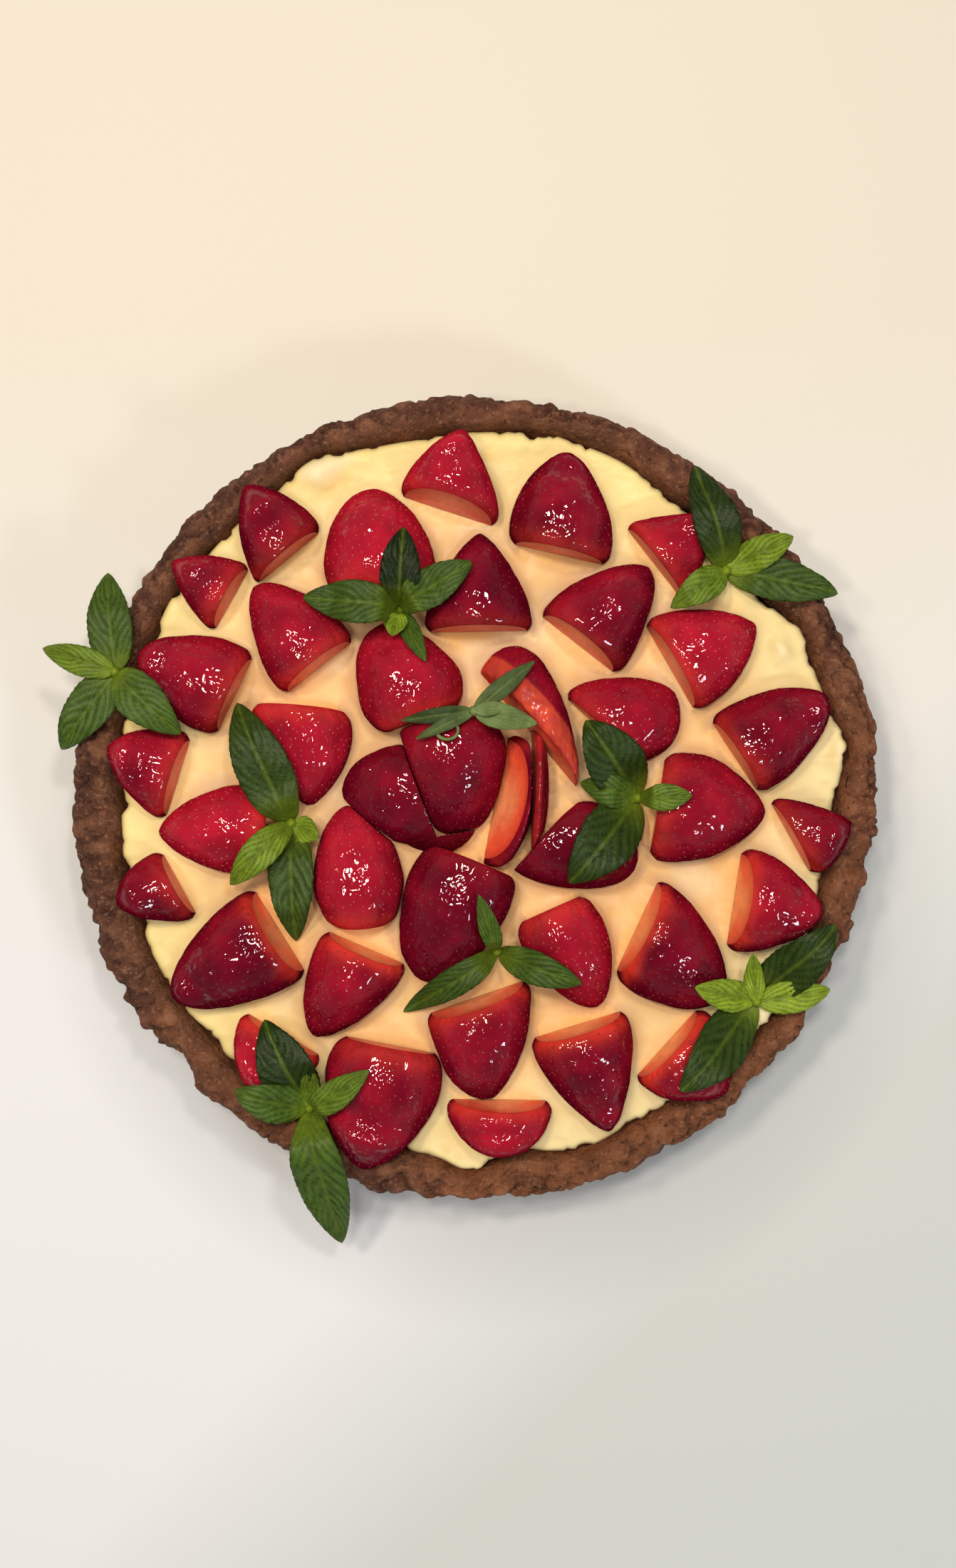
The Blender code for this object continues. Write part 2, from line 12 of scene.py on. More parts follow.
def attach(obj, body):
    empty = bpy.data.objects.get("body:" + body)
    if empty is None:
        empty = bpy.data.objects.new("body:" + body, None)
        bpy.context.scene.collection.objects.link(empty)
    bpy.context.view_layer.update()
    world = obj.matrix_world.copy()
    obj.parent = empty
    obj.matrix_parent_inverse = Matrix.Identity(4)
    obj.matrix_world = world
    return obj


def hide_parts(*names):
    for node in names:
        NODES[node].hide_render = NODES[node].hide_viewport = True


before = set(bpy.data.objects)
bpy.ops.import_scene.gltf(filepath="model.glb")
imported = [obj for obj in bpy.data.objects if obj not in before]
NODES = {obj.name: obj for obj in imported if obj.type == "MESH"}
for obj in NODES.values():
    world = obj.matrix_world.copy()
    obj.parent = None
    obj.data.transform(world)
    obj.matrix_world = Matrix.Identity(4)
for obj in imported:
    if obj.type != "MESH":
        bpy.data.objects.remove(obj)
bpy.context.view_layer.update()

MM = 0.001

# Sizes that the solids have too.
RIM_RADIUS = 0.1313
BASE_RADIUS = 0.1228
RIM_WIDTH = 0.012
CRUST_HEIGHT = 0.032
FLOOR_THICKNESS = 0.006
INNER_FLARE = 0.0045
RIM_ROUND = 0.0022
EDGE_WANDER = 0.0012
EDGE_WAVES = 5.0
EDGE_SEED = 3.1
CRAG_HEIGHT = 0.0019
CRAG_SIZE = 0.009
CREAM_LEVEL = 0.0285
CREAM_SIDE_GAP = 0.0005
CREAM_BEND = 0.1
CREAM_EDGE_ROUND = 0.0015
CREAM_EDGE_DROP = 0.002
RIDGE_CLEARANCE = 0.007
CONTACT_GAP = 0.0003
SHOULDER_LENGTH = 0.4
BERRY_LUMP = 0.05
LUMP_SIZE = 0.014
RISE_START = 0.107
RISE_END = 0.1155
RIM_CLEARANCE = 0.0019
LEAF_THICKNESS = 0.0006
LEAF_STATIONS = 7
LEAF_PROBES = (-1.0, -0.5, 0.0, 0.5, 1.0)
LEAF_FOOT = 0.0004
LEAF_CLEARANCE = 0.0011
LEAF_SLOPE = 0.75
LEAF_FOLD = 0.2
LEAF_WAVE = 0.12
STEM_RADIUS = 0.002
STEM_HALF_HEIGHT = 0.003
PAIR_SPACING = 0.0016

# Relief that only the dressed meshes have: its heights and depths, then how wide its features are.
BILLOW_HEIGHT = 0.0016
LUMP_HEIGHT = 0.00035
CRUMB_HEIGHT = 0.00026
CRACK_DEPTH = 0.0006
CHIP_DEPTH = 0.0016
RIPPLE_HEIGHT = 0.00042
STREAK_HEIGHT = 0.0007
MENISCUS_HEIGHT = 0.0004
NOTCH_DEPTH = 0.0014
DIMPLE_DEPTH = 0.00022
SWELL_HEIGHT = 0.00016
HOLLOW_DEPTH = 0.0006
PILLOW_HEIGHT = 0.00075
CREASE_DEPTH = 0.0003
TOOTH_DEPTH = 0.05
BILLOW_SIZE = 0.0068
LUMP_WIDTH = 0.0042
CRUMB_WIDTH = 0.0016
CHIP_SIZE = 0.0085
RIPPLE_SIZE = 0.012
DIMPLE_SIZE = 0.0008
VEIN_SPACING = 0.0046

# The berries' seeds: half sizes, spacing along and round a berry, share of places that have one.
SEED_SIZE = (0.0005, 0.00034, 0.00028)
SEED_ROW_GAP = 0.0025
SEED_GAP = 0.0031
SEED_DEPTH = 0.00026
SEED_SHARE = 0.8

# How far the cut flesh shines through the skin beside it, and how uneven that is.
SHINE_DEPTH = 0.0042
SHINE_UNEVEN = 0.0018

# How far the fruit tints the cream: juice and painted shade beside its skin, painted glow beside
# its cut faces.
JUICE_AND_SHADE_REACH = 0.0042
PAINTED_GLOW_REACH = 0.003

# The glaze: width and height of its waves, streaks and pits. It breaks up the lamps' highlights.
GLAZE_WAVES = (0.006, 0.0008)
GLAZE_STREAKS = (0.0027, 0.00034)
GLAZE_PITS = (0.0042, 0.00022)

# The skin is wet where its normals point upwards by more than this.
WET_FROM, WET_FULL = 0.58, 0.8

# The sepal that is rolled into a loop.
CURL_MIDDLE = (-0.0093, 0.0209, 0.0)
CURL_RADIUS = 0.0034
CURL_THICKNESS = 0.0007
CURL_LIFT = 0.0028
CURL_SEGMENTS = 30
CURL_AROUND = 8

# How fine the dressed meshes are.
CRUST_TURN = 900
CRUST_STEP = 0.0009
CREAM_TURN = 600
CREAM_STEP = 0.001
BERRY_STEP = 0.00058
BASE_COLUMNS = 7
FACE_ROWS = 9
LEAF_ROWS = 44
LEAF_COLUMNS = 21

# Each cut berry, in mm and degrees: name, x and y of the middle of its cut edge, heading of its
# tip, greatest width, length, how far the tip stands to the left, height, breadth, lean of the cut
# face, shoulder, tone of its skin (0 dark, 1 bright), glow of its cut flesh (0 salmon, 1 orange).
BERRIES = (
    ("berry_01", -9.5, 92.5, 72, 35, 26, 3, 17, 0.2, 4.0, 0.04, 0.8, 0.35),
    ("berry_02", 26.5, 78.5, 77, 35, 32, 4, 18, 0.75, 0.5, 0.08, 0.24, 0.35),
    ("berry_03", 57.5, 75.5, 38, 32, 23, 0, 12, 0.1, 0.5, 0.02, 0.6, 0.3),
    ("berry_04", 32.5, 49.5, 52, 33, 34, -3, 17, 0.6, 2.5, 0.04, 0.25, 0.3),
    ("berry_05", 62.5, 42.0, 30, 35, 31, -2, 16, 0.5, 1.5, 0.04, 0.9, 0.5),
    ("berry_06", 83.5, 13.0, 33, 31, 35, 0, 17, 0.75, 0.5, 0.06, 0.2, 0.4),
    ("berry_07", 101.5, -13.0, 29, 29, 19, -5, 12, 0.2, 0.5, 0.04, 0.15, 0.4),
    ("berry_08", 83.5, -33.0, -9, 35, 28, 0, 17, 0.5, 4.0, 0.05, 0.55, 1.0),
    ("berry_09", 52.0, -42.0, -25, 37, 35, -8, 18, 0.8, 3.0, 0.05, 0.15, 1.0),
    ("berry_10", 61.5, -80.0, -42, 33, 24, 1, 14, 0.45, 2.0, 0.05, 0.45, 1.0),
    ("berry_11", 32.5, -74.0, -73, 34, 35, 0, 17, 0.45, 1.5, 0.05, 0.25, 0.9),
    ("berry_12", 7.5, -98.0, -92, 35, 18, 0, 13, 0.85, 3.0, 0.05, 0.6, 0.8),
    ("berry_13", -28.0, -80.5, -101, 41, 40, -1, 20, 0.7, -1.5, 0.2, 0.42, 0.4),
    ("berry_14", -63.0, -77.0, -120, 31, 20, 0, 10, 0.45, 1.5, 0.05, 0.85, 0.8),
    ("berry_15", -64.0, -43.5, -148, 34, 40, 0, 19, 0.75, 3.0, 0.05, 0.08, 0.9),
    ("berry_16", -96.5, -28.5, -151, 26, 20, -4, 13, 0.45, 0.5, 0.05, 0.15, 0.3),
    ("berry_17", -97.0, 6.0, 163, 30, 24, -3, 12, 0.45, 1.5, 0.05, 0.5, 0.4),
    ("berry_18", -78.5, 33.0, 155, 32, 33, 1, 17, 0.8, 0.5, 0.1, 0.48, 0.4),
    ("berry_19", -79.5, 64.0, 151, 25, 22, -1, 12, 0.2, 1.5, 0.02, 0.45, 0.4),
    ("berry_20", -61.0, 77.5, 130, 29, 26, -4, 16, 0.35, 0.5, 0.05, 0.25, 0.3),
    ("berry_21", -31.0, 67.0, 92, 38, 33, 2, 18, 0.85, -1.0, 0.16, 0.85, 0.4),
    ("berry_22", 0.5, 53.5, 91, 36, 32, -1, 17, 0.3, 1.0, 0.04, 0.06, 0.25),
    ("berry_23", -51.0, 42.0, 128, 30, 34, 0, 17, 0.65, 1.5, 0.05, 0.6, 0.5),
    ("berry_24", -17.0, 25.0, 113, 36, 34, 2, 18, 0.9, -1.5, 0.26, 0.65, 0.4),
    ("berry_25", -57.0, 28.5, -95, 34, 31, 5, 15, 0.5, -1.0, 0.1, 0.8, 0.4),
    ("berry_26", -68.5, -10.0, 180, 31, 35, 1, 15, 0.6, -1.5, 0.28, 0.95, 0.4),
    ("berry_27", -37.0, -41.5, 94, 31, 39, 1, 17, 1.0, -1.5, 0.36, 0.72, 0.4),
    ("berry_28", -36.0, -49.0, -113, 31, 33, -4, 17, 0.6, 1.5, 0.05, 0.45, 0.85),
    ("berry_29", -1.5, -21.0, -112, 36, 42, -1, 19, 0.95, -1.5, 0.14, 0.12, 0.05),
    ("berry_30", 0.0, -65.0, -71, 37, 33, -7, 16, 0.6, 3.0, 0.06, 0.4, 0.85),
    ("berry_31", 24.0, -36.5, -66, 29, 35, 1, 17, 0.8, -1.5, 0.2, 0.7, 0.4),
    ("berry_32", 40.5, 21.5, 48, 36, 25, -8, 13, 0.75, 0.5, 0.1, 0.55, 0.3),
    ("berry_33", 58.5, -3.0, -9, 39, 35, 3, 19, 0.6, -1.5, 0.16, 0.48, 0.4),
    ("berry_34", 15.0, 15.3, 43, 47, 24, 18, 16, 0.85, 8.5, 0.06, 0.3, 0.75),
    ("berry_35", 22.0, -11.0, -50, 36, 29, 11, 14, 0.9, -1.0, 0.12, 0.05, 0.05),
    ("berry_36", -65.5, -33.0, 23, 15, 13, 0, 8, 0.6, 1.0, 0.05, 0.4, 0.4),
    ("fan_slice_1", -14.5, 1.5, -158, 36, 28, -7, 14, 0.95, -1.0, 0.1, 0.1, 0.05),
    ("fan_slice_2", -9.5, 25.0, -84, 38, 38, 0, 22, 0.95, -1.5, 0.24, 0.3, 0.05),
    ("fan_slice_3", 5.4, -0.8, -13, 45, 13.5, -2, 18, 0.9, 11.5, 0.05, 0.2, 0.95),
    ("fan_slice_4", 16.8, 1.8, -3, 46, 6.5, -2, 16, 0.9, 2.0, 0.05, 0.25, 0.3),
    ("fan_slice_5", -13.0, -8.8, -86, 25, 10, 0, 11, 0.8, -0.5, 0.1, 0.1, 0.05),
)

BERRY_NAMES = [berry[0] for berry in BERRIES]

# How far bare flesh reaches over a slice from the lower edge of its cut face, in mm.
BARE_REACH = {"berry_34": 12.5}

# Each sprig, in mm and degrees: name, x and y where its leaves meet, and for each leaf its heading,
# length, width and tone (0 dark green, 1 bright yellow-green). The lowest pair comes first.
SPRIGS = (
    ("mint_1", -116, 40,
     ((98, 33, 14, 0.4), (-128, 31, 14, 0.45), (162, 26, 9, 0.65), (-43, 29, 14, 0.5))),
    ("mint_2", -25, 60, ((86, 25, 12, 0.02), (-63, 19, 6, 0.45), (174, 30, 13, 0.35),
                         (31, 27, 12, 0.4), (-102, 9, 7, 0.8))),
    ("mint_3", 80.5, 73,
     ((107, 35, 14, 0.1), (-11, 37, 13, 0.35), (27, 24, 10, 0.75), (-146, 22, 10, 0.65))),
    ("mint_4", -60, -8.5,
     ((114, 42, 17, 0.2), (-88, 38, 14, 0.3), (-134, 27, 10, 0.7), (-27, 10, 8, 0.75))),
    ("mint_5", 52, -0.5,
     ((125, 30, 18, 0.15), (-130, 35, 18, 0.15), (165, 19, 10, 0.5), (4, 15, 8, 0.6))),
    ("mint_6", 6.5, -50, ((-147, 36, 9, 0.3), (-19, 28, 10, 0.4), (107, 20, 6, 0.5))),
    ("mint_7", 90, -66, ((46, 35, 15, 0.15), (-134, 37, 16, 0.2), (9, 24, 10, 0.85),
                         (164, 22, 10, 0.85), (98, 16, 6, 0.85))),
    ("mint_8", -54, -100.5, ((116, 32, 17, 0.1), (-79, 48, 16, 0.45), (163, 24, 12, 0.5),
                             (37, 25, 9, 0.6), (86, 15, 6, 0.6))),
    ("calyx", -1, 27, ((40, 25, 5.5, 0.2), (-173, 23, 4.5, 0.05), (-11, 20, 7.5, 0.6),
                       (-154, 20, 3.5, 0.22), (8, 11, 4, 0.55))),
)

# How the crust's outer edge strays from a circle, in mm and degrees: bearing from +X, half the
# spread round the crust, and how far outwards. The deep ones are places where it is broken away.
OUTER_SHAPE = (
    (178, 16, 0.6), (140, 20, -1.5), (60, 40, -1.8), (5, 12, 0.8), (-25, 14, -2.2),
    (-32, 2.5, -2.5), (-48, 6, -1.5), (-108, 14, 0.8), (-131, 6, -1.5), (-139, 3.0, -3.5),
    (-158, 14, 0.9),
)

# The same for its inner edge: outwards where the cream laps over a thin rim, inwards where the rim
# is thick.
INNER_SHAPE = (
    (180, 9, -1.5), (148, 4, 1.0), (116, 7, 4.5), (78, 12, 2.5), (58, 7, -2.0), (36, 5, -3.5),
    (27, 3, 1.5), (8, 4, 4.0), (-11, 9, -2.5), (-36, 4, 3.0), (-50, 4, 4.0), (-72, 5, 1.5),
    (-83, 3, -2.0), (-91, 4, 4.0), (-160, 6, -1.5),
)

# Ridges where the cream is swept up against the crust, in mm and degrees: bearing from +X,
# distance from the middle, length round the crust, width and height.
CREAM_RIDGES = (
    (116, 117, 28, 10, 3.5), (27, 108, 16, 8, 3.5), (8, 117, 18, 9, 3.5), (78, 115, 36, 9, 2.0),
    (148, 114, 14, 7, 1.5), (-36, 117, 14, 8, 3.0), (-50, 118, 14, 8, 3.5),
    (-91, 117, 18, 8, 3.5), (-73, 115, 20, 7, 1.5), (-132, 114, 16, 7, 1.5),
)


def rgb(*shares):
    """A colour from its linear shares of red, green and blue."""
    return np.array(shares)


CRUST_DARK = rgb(0.105, 0.036, 0.021)
# Painted light: the crust's brighter, warmer colour on its lit lower right side.
CRUST_WARM_LIT = rgb(0.21, 0.072, 0.029)
CRUST_DULL = rgb(0.085, 0.036, 0.024)
# Painted light on the crust's inner wall.
CRUST_WALL_LIT = rgb(0.26, 0.1, 0.045)
# Painted shade in the crust's hollows and cracks.
CRUST_HOLLOW_SHADE = rgb(0.048, 0.016, 0.01)
# Painted highlights on the crust's raised lumps.
CRUST_PAINTED_HIGHLIGHT = rgb(0.3, 0.13, 0.065)
CRUMB_PALE = rgb(0.34, 0.16, 0.085)
# Painted shade in the crust's pores.
PORE_SHADE = rgb(0.035, 0.012, 0.007)
ROOM_WALL = rgb(0.22, 0.215, 0.21)
ROOM_CEILING = rgb(0.045, 0.045, 0.05)
# Painted light and shade on the floor: warm where lit, grey where shaded.
FLOOR_WARM_LIT = rgb(0.775, 0.72, 0.61)
FLOOR_PLAIN = rgb(0.785, 0.795, 0.815)
FLOOR_GREY_SHADE = rgb(0.6, 0.635, 0.615)
CREAM_YELLOW = rgb(0.95, 0.76, 0.325)
CREAM_PEACH = rgb(0.91, 0.6, 0.255)
CREAM_WHITE = rgb(0.88, 0.75, 0.48)
# Painted glow: orange light from the cut faces on the cream beside them.
CREAM_PAINTED_GLOW = rgb(0.9, 0.36, 0.07)
# Juice stain and painted shade on the cream beside the berries.
CREAM_STAIN_AND_SHADE = rgb(0.48, 0.2, 0.11)
CREAM_AMBER = rgb(0.93, 0.55, 0.16)
SKIN_BRIGHT = rgb(0.425, 0.0095, 0.027)
SKIN_DARK = rgb(0.118, 0.0018, 0.0125)
SKIN_GLOW = rgb(0.82, 0.055, 0.026)
FLESH_SALMON = rgb(0.62, 0.055, 0.06)
FLESH_ROSE = rgb(0.8, 0.145, 0.135)
FLESH_ORANGE = rgb(1.0, 0.115, 0.045)
FLESH_PALE = rgb(1.0, 0.3, 0.12)
SEED_BRIGHT = rgb(0.56, 0.055, 0.055)
SEED_DARK = rgb(0.11, 0.003, 0.013)
LEAF_DARK = rgb(0.006, 0.013, 0.003)
LEAF_MIDDLE = rgb(0.05, 0.09, 0.012)
LEAF_BRIGHT = rgb(0.23, 0.32, 0.02)
SEPAL_DARK = rgb(0.024, 0.044, 0.012)
SEPAL_BRIGHT = rgb(0.2, 0.27, 0.085)


# --- Numbers and meshes ---

def ramp_up(low, high, value):
    """0 below low, 1 above high, and a smooth climb between them."""
    s = np.clip((value - low) / (high - low), 0.0, 1.0)
    return s * s * (3.0 - 2.0 * s)


def mix(first, second, share):
    """Colours between two colours, one for each share."""
    share = np.asarray(share)[..., None]
    return first * (1.0 - share) + second * share


def layered(colours, *layers):
    """Colours with others mixed over them, each given as a colour and its shares."""
    for colour, share in layers:
        colours = mix(colours, colour, share)
    return colours


def turn_from(bearing, angles):
    """How far each angle is turned from a bearing in degrees, at most half a circle."""
    return np.mod(angles - math.radians(bearing) + math.pi, math.tau) - math.pi


def circle(angles, radius=1.0, height=0.0):
    """Points at each angle of a circle round the middle."""
    x, y = radius * np.cos(angles), radius * np.sin(angles)
    return np.stack([x, y, np.full_like(angles, height)], -1)


def distances_along(line):
    """How far each point of a line is from its start, along it."""
    return np.concatenate([[0.0], np.cumsum(np.linalg.norm(np.diff(line, axis=0), axis=1))])


def noise_at(points, size, seed=0.0, octaves=1):
    """Smooth noise at each point, with features of the given size."""
    shift = Vector((seed, 1.7 * seed, -seed))
    if octaves == 1:
        return np.array([noise.noise(Vector(p) / size + shift) for p in points])
    return np.array([noise.fractal(Vector(p) / size + shift, 1.0, 2.0, octaves) for p in points])


def grid_faces(rows, columns, start=0, wrap=False):
    """Faces of a grid of points that is stored row after row."""
    faces = []
    for row in range(rows - 1):
        for column in range(columns if wrap else columns - 1):
            a = start + row * columns + column
            b = start + row * columns + (column + 1) % columns
            faces.append((a, b, b + columns, a + columns))
    return faces


def fan_faces(start, count, tip):
    """Triangles between a ring of points, from an index on, and a tip."""
    return [(start + i, start + (i + 1) % count, tip) for i in range(count)]


def flipped(faces):
    """The same faces, turned to their other side."""
    return [face[::-1] for face in faces]


def closed_faces(rings, columns):
    """Faces of rings of points, closed by two middle points that are stored after them."""
    centre = rings * columns
    faces = flipped(grid_faces(rings, columns, wrap=True)) + fan_faces(0, columns, centre)
    return faces + flipped(fan_faces(centre - columns, columns, centre + 1))


def shape_parts(bm):
    """Points and faces of a bmesh, which is freed."""
    points = np.array([v.co for v in bm.verts])
    faces = [tuple(v.index for v in face.verts) for face in bm.faces]
    bm.free()
    return points, faces


def point_normals(points, faces):
    """Unit normals at the points of a mesh, from the faces round them."""
    corners = np.array([face[:3] for face in faces])
    a, b, c = (points[corners[:, i]] for i in range(3))
    across = np.cross(b - a, c - a)
    normals = np.zeros_like(points)
    for i in range(3):
        np.add.at(normals, corners[:, i], across)
    return normals / np.maximum(np.linalg.norm(normals, axis=1), 1e-12)[:, None]


def add_object(name, data):
    """An object in the scene."""
    obj = bpy.data.objects.new(name, data)
    bpy.context.scene.collection.objects.link(obj)
    return obj


def add_piece(node, points, faces, colours, materials, kinds=None, wet=None):
    """A smooth mesh that stands for a solid, with a colour, and how wet it is, at each point."""
    mesh = bpy.data.meshes.new(node + "_fine")
    mesh.from_pydata(np.asarray(points).tolist(), [], faces)
    flat = np.ones((len(points), 4), np.float32)
    flat[:, :3] = colours
    attribute = mesh.color_attributes.new("tint", "FLOAT_COLOR", "POINT")
    attribute.data.foreach_set("color", flat.ravel())
    if wet is not None:
        gloss = mesh.attributes.new("wet", "FLOAT", "POINT")
        gloss.data.foreach_set("value", np.asarray(wet, np.float32))
    for material in materials:
        mesh.materials.append(material)
    if kinds is not None:
        mesh.polygons.foreach_set("material_index", kinds.astype(np.int32))
    mesh.validate()
    mesh.shade_smooth()
    obj = add_object(node + "_fine", mesh)
    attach(obj, "root")
    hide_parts(node)


def solid_points(name):
    """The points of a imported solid."""
    return np.array([v.co for v in NODES[name].data.vertices])


def solid_tree(names):
    """A search tree over the surfaces of some solids."""
    points, faces = [], []
    for name in names:
        offset = len(points)
        mesh = NODES[name].data
        points += [v.co.copy() for v in mesh.vertices]
        faces += [[offset + index for index in face.vertices] for face in mesh.polygons]
    return BVHTree.FromPolygons(points, faces)


# --- Materials ---

def add_node(tree, kind, inputs=None, **settings):
    """A shader node; an input is a value or another node's output."""
    node = tree.nodes.new("ShaderNode" + kind)
    for key, value in settings.items():
        setattr(node, key, value)
    for key, value in (inputs or {}).items():
        if isinstance(value, bpy.types.NodeSocket):
            tree.links.new(value, node.inputs[key])
        else:
            node.inputs[key].default_value = value
    return node


def noise_node(tree, size, detail=3.0, roughness=0.55, squeeze=(1.0, 1.0, 1.0)):
    """Noise over the object, with features of that size in metres; its output runs from 0 to 1."""
    place = tree.nodes.get("place") or add_node(tree, "TexCoord", name="place")
    scaled = add_node(tree, "Mapping", {"Vector": place.outputs["Object"], "Scale": squeeze})
    texture = add_node(tree, "TexNoise", {
        "Vector": scaled.outputs["Vector"], "Scale": 1.0 / size, "Detail": detail,
        "Roughness": roughness})
    return texture.outputs["Fac"]


def band(tree, value, low, high, out_low=0.0, out_high=1.0):
    """The value from low to high, stretched to run from out_low to out_high."""
    node = add_node(tree, "MapRange", {
        "Value": value, "From Min": low, "From Max": high, "To Min": out_low, "To Max": out_high})
    return node.outputs["Result"]


def mottled(tree, colour, texture, low, high, dark, light):
    """A colour that a texture makes darker and lighter."""
    share = band(tree, texture, low, high, dark, light)
    return add_node(tree, "VectorMath", {0: colour, "Scale": share}, operation="SCALE").outputs[0]


def blend_colours(tree, share, first, second):
    """Mix two colours in a tree; each is a colour or another node's output."""
    node = add_node(tree, "Mix", data_type="RGBA")
    for socket, value in ((node.inputs["Factor"], share), (node.inputs[6], first),
                          (node.inputs[7], second)):
        if isinstance(value, bpy.types.NodeSocket):
            tree.links.new(value, socket)
        elif isinstance(value, float):
            socket.default_value = value
        else:
            socket.default_value = (*value, 1.0)
    return node.outputs[2]


def bump(tree, height, distance, below=None):
    """A bump of that many metres, over another bump where one is given."""
    inputs = {"Height": height, "Distance": distance, "Strength": 1.0}
    if below is not None:
        inputs["Normal"] = below
    return add_node(tree, "Bump", inputs).outputs["Normal"]


def new_material(name, **values):
    """A Principled material, its tree and its shader, with values for the whole surface."""
    material = bpy.data.materials.new(name)
    material.use_nodes = True
    tree = material.node_tree
    shader = tree.nodes["Principled BSDF"]
    for key, value in values.items():
        shader.inputs[key.replace("_", " ")].default_value = value
    tint = add_node(tree, "Attribute", attribute_name="tint")
    return material, tree, shader, tint.outputs["Color"]


def link(tree, shader, **sources):
    """Link outputs to the shader's inputs by name."""
    for key, source in sources.items():
        tree.links.new(source, shader.inputs[key.replace("_", " ")])


def crust_material():
    """Baked cocoa dough: brown, matt and grainy, with paler crumbs and painted shade in its pores.
    """
    material, tree, shader, tint = new_material(
        "baked_crust", Roughness=0.62, Specular_IOR_Level=0.18)
    colour = mottled(tree, tint, noise_node(tree, 0.011), 0.34, 0.68, 0.72, 1.25)
    crumbs = band(tree, noise_node(tree, 0.0014), 0.55, 0.7, 0.0, 0.6)
    # Painted shade in the pores.
    pore_shade = band(tree, noise_node(tree, 0.0024), 0.42, 0.28, 0.0, 0.75)
    colour = blend_colours(tree, crumbs, colour, CRUMB_PALE)
    colour = blend_colours(tree, pore_shade, colour, PORE_SHADE)
    grain = bump(tree, noise_node(tree, 0.001, 4.0, 0.7), 0.0006)
    relief = bump(tree, noise_node(tree, 0.0034, 4.0, 0.6), 0.0015, below=grain)
    link(tree, shader, Base_Color=colour, Normal=relief)
    return material


def skin_material():
    """Berry skin under a clear glaze, whose unevenness breaks the highlights into streaks."""
    material, tree, shader, tint = new_material(
        "strawberry_skin", Roughness=0.6, Specular_IOR_Level=0.0, Coat_Roughness=0.02,
        Coat_IOR=1.45)
    wet = add_node(tree, "Attribute", attribute_name="wet").outputs["Fac"]
    colour = mottled(tree, tint, noise_node(tree, 0.009, 2.0), 0.32, 0.68, 0.82, 1.18)
    waves = bump(tree, noise_node(tree, GLAZE_WAVES[0], 0.0, 0.5), GLAZE_WAVES[1])
    streaks = noise_node(tree, GLAZE_STREAKS[0], 0.0, 0.5, (1.0, 0.45, 0.7))
    place = tree.nodes["place"].outputs["Object"]
    cells = add_node(tree, "TexVoronoi", {"Vector": place, "Scale": 1.0 / GLAZE_PITS[0]})
    pits = band(tree, cells.outputs["Distance"], 0.06, 0.3)
    jelly = bump(tree, streaks, GLAZE_STREAKS[1], below=waves)
    jelly = bump(tree, pits, GLAZE_PITS[1], below=jelly)
    link(tree, shader, Base_Color=colour, Coat_Weight=wet, Coat_Normal=jelly, Normal=waves)
    return material


def soft_material(name, texture, shades, relief=None, coat_relief=False, **values):
    """A finish that a texture mottles, with a fine relief: its texture and its depth."""
    material, tree, shader, tint = new_material(name, **values)
    colour = mottled(tree, tint, noise_node(tree, *texture), *shades)
    link(tree, shader, Base_Color=colour)
    if relief is not None:
        surface = bump(tree, noise_node(tree, *relief[0]), relief[1])
        link(tree, shader, Normal=surface)
        if coat_relief:
            link(tree, shader, Coat_Normal=surface)
    return material


def cream_material():
    """Pastry cream: smooth, soft and a little translucent."""
    return soft_material(
        "pastry_cream", (0.016, 2.0), (0.3, 0.7, 0.94, 1.04), ((0.0035, 3.0, 0.6), 0.00008),
        Roughness=0.5, Specular_IOR_Level=0.2, Subsurface_Weight=0.2, Subsurface_Scale=1.0,
        Subsurface_Radius=(0.006, 0.0035, 0.0015), Coat_Weight=0.04, Coat_Roughness=0.15)


def flesh_material():
    """The cut face of a berry: wet and translucent, with pale fibres."""
    return soft_material(
        "strawberry_flesh", (0.0026, 2.0, 0.5, (1.0, 1.0, 0.3)), (0.3, 0.75, 0.9, 1.1),
        ((0.0024, 2.0), 0.0003), coat_relief=True, Roughness=0.4,
        Specular_IOR_Level=0.1, Subsurface_Weight=0.35, Subsurface_Scale=1.0,
        Subsurface_Radius=(0.006, 0.002, 0.001), Coat_Weight=0.15, Coat_Roughness=0.1)


def seed_material():
    """The berries' seeds, under the same glaze."""
    return soft_material("strawberry_seed", (0.0008, 1.0), (0.3, 0.7, 0.75, 1.2), Roughness=0.4,
                         Specular_IOR_Level=0.3, Coat_Weight=0.3, Coat_Roughness=0.08)


def leaf_material(name, gloss):
    """Fresh leaf: satin, with a fine grain between its veins."""
    return soft_material(name, (0.004,), (0.32, 0.68, 0.8, 1.2), ((0.0018, 3.0, 0.6), 0.00045),
                         Roughness=gloss, Specular_IOR_Level=0.16)


# --- Crust ---

def edge_move(angles, shape, seed):
    """How far an edge strays outwards from a true circle at each angle."""
    move = EDGE_WANDER * noise_at(circle(angles, EDGE_WAVES, seed), 1.0)
    for bearing, spread, reach in shape:
        turn = turn_from(bearing, angles)
        move += reach * MM * np.exp(-(turn / math.radians(spread)) ** 2)
    return move


def inner_move(angles):
    """The same for the crust's inner edge, and the cream's edge with it."""
    return edge_move(angles, INNER_SHAPE, -EDGE_SEED)


def inner_radius(height):
    """Radius of the crust's inner wall at a height, before it wanders."""
    share = (height - FLOOR_THICKNESS) / (CRUST_HEIGHT - FLOOR_THICKNESS)
    return RIM_RADIUS - RIM_WIDTH - INNER_FLARE * (1.0 - share)


